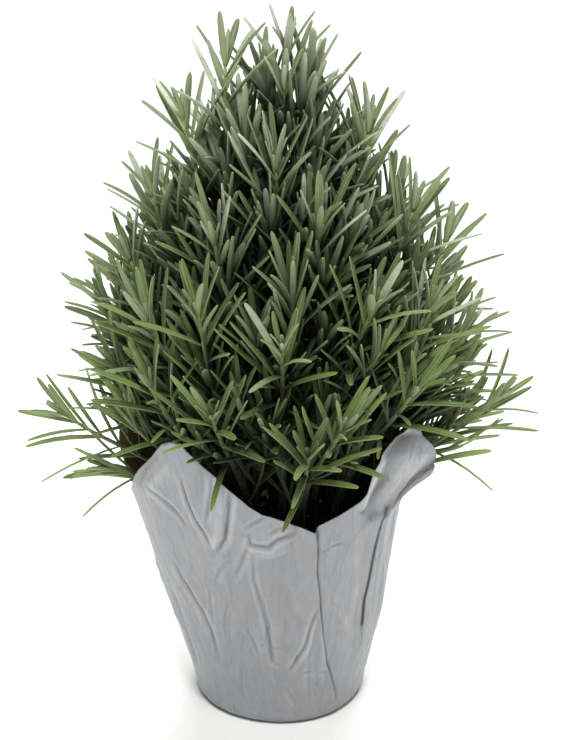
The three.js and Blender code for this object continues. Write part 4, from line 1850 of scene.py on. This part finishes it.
    def shoot(self, line: StemLine, below: float, pair: int, side: int, length: float) -> StemLine:
        """Gives the line of a side shoot, which leaves its stem in the axil of a leaf.

        Args:
            line: the stem.
            below: how far below the stem's tip.
            pair: which pair of leaves it stands in.
            side: 0 or 1.
            length: the shoot's length.

        Returns:
            The shoot's line.
        """
        keys = (line.index, 200 + 2 * pair + side)
        spot = line.place(1 - below / line.length)
        turn = math.radians(90 * pair + 180 * side + 45 + jitter(16, *keys, 1))
        away = spot.out * math.cos(turn) + spot.side * math.sin(turn)
        start = unit(spot.along * math.cos(0.7) + away * math.sin(0.7))
        end = unit(start + 0.6 * spot.along + 0.9 * UP)
        tip = spot.at + (start * 0.45 + end * 0.55) * length
        handles = np.array([spot.at, spot.at + start * length * 0.35, tip - end * length * 0.35, tip])
        across = unit(np.cross(spot.along, away))
        return StemLine(line.index, handles, across, 0, jitter(0.6, *keys, 2), 0.75, 0.5)

    def grow(self, lines: list[StemLine]) -> tuple[list[list[Leaf]], list[list[StemLine]]]:
        """Grows every leaf and side shoot.

        Args:
            lines: the main stems.

        Returns:
            Each stem's leaves, and each stem's side shoots.
        """
        leaves = self.main_leaves(lines)
        log.info("main leaves: %d", sum(len(some) for some in leaves))
        for leaf in (leaf for some in leaves for leaf in some):
            self.make_slim(leaf, loose=False)
        shoots: list[list[StemLine]] = [[] for _ in lines]
        crowd = Crowd(5.0)
        for line in lines:
            crowd.add(line.point(np.linspace(0, 1, 40)), 1.2, -1)
            for leaf in leaves[line.index]:
                crowd.add(leaf.spine(np.linspace(0.2, 1, 8)), self.body * leaf.width, line.index)
        for line in lines:
            for n, (length, lean) in enumerate(self.closing):
                rule, keys = (self.closing_below, length, lean), (line.index, 60 + n)
                leaf = self.leaf(line, rule, n // 2, n % 2, (45, 0), keys, self.tip_radius)
                leaf.width, leaf.age = self.closing_width, leaf.age * 0.7
                leaves[line.index].append(leaf)
        # older leaves further down
        for pair, rule in enumerate(self.low_pairs, len(self.pairs)):
            for line in lines:
                if rule[0] <= line.length - 14:
                    keys = (line.index, 10 + 2 * pair)
                    leaves[line.index] += self.bear(crowd, line, rule, pair, keys, LOW_HABIT, line.index)
        for line in lines:
            leaves[line.index] += self.sheaf_leaves(crowd, line, line.index, (line.index, 700))
        self.add_branches(lines, leaves, shoots, crowd)
        self.fill_axils(lines, leaves, shoots, crowd)
        return leaves, shoots

    def sheaf_leaves(self, crowd: Crowd, line: StemLine, owner: int, keys: tuple) -> list[Leaf]:
        """Grows the long upright leaves that stand between the uppermost pairs.

        Args:
            crowd: where leaves already are.
            line: the stem or branch.
            owner: its number in the crowd.
            keys: what its draws depend on.

        Returns:
            The leaves that found room.
        """
        borne = []
        for pair, rule in enumerate(self.sheaf):
            if rule[0] > line.length - 12:
                break
            borne += self.bear(crowd, line, rule, pair, (*keys, 2 * pair), SHEAF_HABIT, owner)
        return borne

    def branch_tips(self) -> list[Array]:
        """Gives tips for more leafy branches, spread over the crown where the main stems leave room.

        Returns:
            The tips.
        """
        taken = [around(reach, math.radians(azimuth), height) for azimuth, reach, height in self.tips]
        mains = len(taken)
        lowest, more = self.branch_low
        for n in range(self.tries):
            height = lowest + self.branch_range * draw(n, 901) ** 0.9
            turn = 2 * math.pi * draw(n, 902)
            rim = float(np.interp(height + 24, CROWN[:, 0], CROWN[:, 1]))
            reach = max(2.0, (rim - 22) * (1 - 0.3 * draw(n, 903) ** 2))
            tip = around(reach, turn, height)
            front = max(0.0, -math.sin(turn))
            room = self.tip_room + 5 * np.clip((240 - height) / 90, 0, 1)
            if height > lowest + more * front and min(np.linalg.norm(tip - other) for other in taken) > room:
                taken.append(tip)
        return taken[mains:]

    def branch(self, lines: list[StemLine], tip: Array, number: int) -> StemLine | None:
        """Gives the line of a leafy branch, from the main stem that suits its tip best.

        Args:
            lines: the main stems.
            tip: where it ends.
            number: which branch it is.

        Returns:
            Its line, or nothing where no stem suits.
        """
        turn = math.atan2(tip[1], tip[0])
        upright = ((tip[2] - self.lowest) / (self.topmost - self.lowest)) ** self.straighten
        lean = math.radians(90 * (1 - upright) + jitter(8, number, 911))
        heading = around(1.0, turn) * math.sin(lean) + UP * math.cos(lean)
        best, found = 1e9, None
        shares = np.linspace(0.2, 0.92, 25)
        for line in lines:
            spots = line.point(shares)
            ahead = line.point(shares + 0.02) - spots
            ahead /= np.linalg.norm(ahead, axis=1)[:, None]
            gap = tip - spots
            far = np.linalg.norm(gap, axis=1)
            turned_off = 1 - (ahead * gap).sum(1) / far
            least, most = self.branch_reach
            unfit = (far < least) | (far > most) | (gap[:, 2] < 0.4 * far)
            cost = 90 * turned_off + 0.5 * np.abs(far - self.branch_best) + 400 * unfit
            at = int(cost.argmin())
            if cost[at] < best:
                best, found = cost[at], (line, spots[at], ahead[at], far[at])
        if best > self.worst_cost:
            return None
        line, spot, ahead, far = found
        start = unit(ahead + 0.8 * (tip - spot) / far)
        handles = np.array([spot, spot + start * 0.35 * far, tip - heading * 0.35 * far, tip])
        across = unit(np.cross(UP, heading + 1e-3))
        return StemLine(
            line.index, handles, across, jitter(3, number, 912), jitter(0.7, number, 913), 1.15, 0.75
        )

    def add_branches(
        self, lines: list[StemLine], leaves: list[list[Leaf]], shoots: list[list[StemLine]], crowd: Crowd
    ) -> None:
        """Grows leafy branches up to the crown's outside.

        Args:
            lines: the main stems.
            leaves: each stem's leaves, which this adds to.
            shoots: each stem's branches, which this adds to.
            crowd: where leaves already are.
        """
        branches = []
        for number, tip in enumerate(self.branch_tips()):
            branch = self.branch(lines, tip, number)
            if branch is not None and not self.wrap.near(branch.point(np.linspace(0.1, 1, 30)), 5.0):
                branches.append((number, branch))
                crowd.add(branch.point(np.linspace(0.2, 1, 14)), 0.9, 1000 + number)
        log.info("branches: %d", len(branches))
        for pair, (below, length, lean) in enumerate([(0.4, 15, 5), *self.pairs, *self.low_pairs[:3]]):
            habit = BRANCH_TIP_HABIT if pair == 0 else BRANCH_TOP_HABIT if pair < 3 else BRANCH_HABIT
            rule = (below, length, self.branch_lean * lean)
            for number, branch in branches:
                if below <= branch.length - 12:
                    keys = (number, 2000 + 2 * pair)
                    leaves[branch.index] += self.bear(crowd, branch, rule, pair, keys, habit, 1000 + number)
        for number, branch in branches:
            leaves[branch.index] += self.sheaf_leaves(crowd, branch, 1000 + number, (number, 2900))
            shoots[branch.index].append(branch)

    def fill_axils(
        self, lines: list[StemLine], leaves: list[list[Leaf]], shoots: list[list[StemLine]], crowd: Crowd
    ) -> None:
        """Grows side shoots and tufts of small leaves in the axils.

        Args:
            lines: the main stems.
            leaves: each stem's leaves, which this adds to.
            shoots: each stem's side shoots, which this adds to.
            crowd: where leaves already are.
        """
        every = [*self.pairs, *self.low_pairs]
        for pair in range(1, len(every)):
            below = every[pair][0]
            for line in lines:
                if below > line.length - 10:
                    continue
                for side in (0, 1):
                    keys = (line.index, 300 + 2 * pair + side)
                    if draw(*keys, 3) < (0.9 if below < 40 else 0.65):
                        continue
                    length = min(62, 0.62 * below) * (0.75 + 0.5 * draw(*keys, 1))
                    # a short one is a tuft, with hardly a stem
                    shown = max(4.0, 0.3 * length if length < 14 else length)
                    shoot = self.shoot(line, below, pair, side, shown)
                    if self.wrap.near(shoot.point(np.linspace(0.2, 1, 8)), 2.0):
                        continue
                    grown: list[Leaf] = []
                    full = min(34.0, 13 + 0.5 * below) * (0.85 + 0.3 * draw(*keys, 2))
                    for n, (down, share, lean) in enumerate(self.tuft):
                        if down > shoot.length - 1 and n > 0:
                            break
                        rule = (min(down, shoot.length), full * share, lean)
                        leaf_keys = (line.index, 400 + 12 * (2 * pair + side) + 2 * n)
                        grown += self.bear(crowd, shoot, rule, n, leaf_keys, AXIL_HABIT, line.index)
                    if grown:
                        leaves[line.index].extend(grown)
                        shoots[line.index].append(shoot)

    def wood_marks(self, points: Array) -> dict[str, Array]:
        """Gives the marks of a stem: it turns to bark low down, and is dim inside the crown.

        Args:
            points: the stem's points.

        Returns:
            The marks, by their names.
        """
        marks = dict.fromkeys(LEAF_MARKS, np.zeros(len(points)))
        marks["age"] = np.clip((self.bark_from - points[:, 2]) / self.bark_over, 0, 1)
        # how deep in the crown, for the stem's painted shade there
        marks["deep"] = depth_in_crown(points, self.wood_widest)
        return marks

    def build(self, blade: Finish, bark: Finish) -> list[bpy.types.Object]:
        """Builds each leafy stem as one piece.

        Args:
            blade: the leaves' finish.
            bark: the stems' finish.

        Returns:
            The pieces.
        """
        lines = [self.stem(index) for index in range(len(self.tips))]
        leaves, shoots = self.grow(lines)
        materials = [blade.material(), bark.material()]
        pieces = []
        for line in lines:
            base = line.handles[0] - UP * (line.handles[0][2] - self.soil.edge + self.root_depth)
            woody = [line.mesh(26, base), *(shoot.mesh(6) for shoot in shoots[line.index])]
            forms = [(form, 1, self.wood_marks(form[0])) for form in woody]
            for leaf in leaves[line.index]:
                plain = leaf.length < self.plain_length
                form, marks = leaf.mesh(*(PLAIN_SHAPE if plain else FINE_SHAPE))
                forms.append((form, 0, marks))
            faces, picks, start = [], [], 0
            for (some, some_faces), pick, _ in forms:
                faces += [tuple(v + start for v in face) for face in some_faces]
                picks += [pick] * len(some_faces)
                start += len(some)
            points = np.concatenate([form[0] for form, _, _ in forms])
            merged = {label: np.concatenate([marks[label] for _, _, marks in forms]) for label in LEAF_MARKS}
            name, form = f"{line.index + 1:02d}", (points, faces)
            piece = make_piece(f"lavender_stem_{name}", form, materials, merged, picks)
            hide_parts(f"leafy_stem_{name}")
            pieces.append(piece)
        log.info("leaves: %d, side shoots: %d", sum(map(len, leaves)), sum(map(len, shoots)))
        return pieces


# ---- Studio ----


class Lamp(Enum):
    """The kinds of light: a square softbox, and an even light from far away."""

    SOFTBOX = "AREA"
    SKY = "SUN"


@dataclass
class Studio:
    """A plain pale floor, soft lights and the camera. The floor's radius is in metres."""

    distance: float = 1000.0
    pitch: float = 20.0
    aim: tuple = (0.0, 0.0, 177.0)
    lens: float = 96.8
    shift: tuple = (3 / 740, 1 / 740)
    floor: float = 30.0
    # each light's name, kind, place in metres, width in metres or degrees, and power in watts or, for
    # an even one, in watts a square metre
    lamps: tuple = (
        ("key_light", Lamp.SOFTBOX, (0.0, -1.15, 2.0), 0.6, 46),
        ("fill_light", Lamp.SOFTBOX, (1.3, -1.1, 1.0), 1.2, 1.0),
        ("top_light", Lamp.SKY, (0.2, 1.5, 2.5), 42.0, 3.7),
    )
    # a white wall all round, up to 10 degrees above the floor, under a dimmer ceiling: the sines of the
    # heights where it starts to fade and ends, and both strengths
    wall: dict = field(default_factory=lambda: {
        "From Min": 0.18, "From Max": 0.24, "To Min": 1.08, "To Max": 0.14,
    })
    wall_colour: str = "#F8F8F4"

    def build(self, paint: Finish) -> None:
        """Builds the floor, the lights and the camera.

        Args:
            paint: the floor's finish.
        """
        mesh = bpy.data.meshes.new("studio_floor")
        mesh.from_pydata(ring(self.floor, 0.0, 64).tolist(), [], [tuple(range(64))])
        mesh.materials.append(paint.material())
        place_object("studio_floor", mesh)
        for lamp in self.lamps:
            self.add_lamp(*lamp)
        world = bpy.data.worlds.new("studio_air")
        world.use_nodes = True
        tree = world.node_tree
        place = add_node(tree, "TexCoord").outputs["Generated"]
        height = add_node(tree, "SeparateXYZ", {0: place}).outputs["Z"]
        glow = add_node(tree, "MapRange", {0: height, **self.wall})
        background = tree.nodes["Background"]
        background.inputs[0].default_value = linear(self.wall_colour)
        tree.links.new(glow.outputs[0], background.inputs[1])
        bpy.context.scene.world = world
        bpy.context.scene.view_settings.view_transform = "Standard"
        tilt = math.radians(self.pitch)
        data = bpy.data.cameras.new("camera")
        data.lens, data.shift_x, data.shift_y = self.lens, *self.shift
        camera = place_object("camera", data)
        camera.location = (
            self.aim[0] * MM,
            (self.aim[1] - self.distance * math.cos(tilt)) * MM,
            (self.aim[2] + self.distance * math.sin(tilt)) * MM,
        )
        camera.rotation_euler = (math.pi / 2 - tilt, 0, 0)
        bpy.context.scene.camera = camera

    def add_lamp(self, name: str, kind: Lamp, place: tuple, width: float, power: float) -> None:
        """Adds a light that faces the object.

        Args:
            name: the light's name.
            kind: which kind it is.
            place: where it stands, in metres.
            width: in metres, or in degrees for an even one.
            power: in watts, or in watts a square metre for an even one.
        """
        data = bpy.data.lights.new(name, kind.value)
        data.energy = power
        if kind is Lamp.SKY:
            data.angle = math.radians(width)
        else:
            data.size = width
        lamp = place_object(name, data)
        lamp.location = place
        x, y, z = np.array(place) - np.array(self.aim) * MM
        lamp.rotation_euler = (math.atan2(math.hypot(x, y), z), 0, math.atan2(y, x) + math.pi / 2)


def main() -> None:
    """Builds the studio and the object, piece by piece."""
    Studio().build(PaintedBoard("board_painted_matt"))
    pot = NurseryPot()
    soil = SoilBed(pot)
    wrap = PaperWrap(creases=wrap_creases())
    pieces = wrap.build(
        LaminatedPaper("paper_silver_laminated_pressed"), KraftPaper("paper_kraft_unprinted")
    )
    pieces += pot.build(MouldedPolypropylene("polypropylene_black_moulded"))
    pieces += soil.build(
        ScreenedPeat("peat_soil_screened"),
        BrokenGrains("perlite_puffed"),
        BrokenGrains("pine_bark_chipped", "#6B4A30", "#3C2818"),
    )
    pieces += Lavender(pot, soil, wrap).build(
        FeltedLeaf("lavender_leaf_felted"), SquareStemBark("lavender_stem_grown")
    )
    for piece in pieces:
        log.info("%s: %d faces", piece.name, len(piece.data.polygons))


if __name__ == "__main__":
    main()
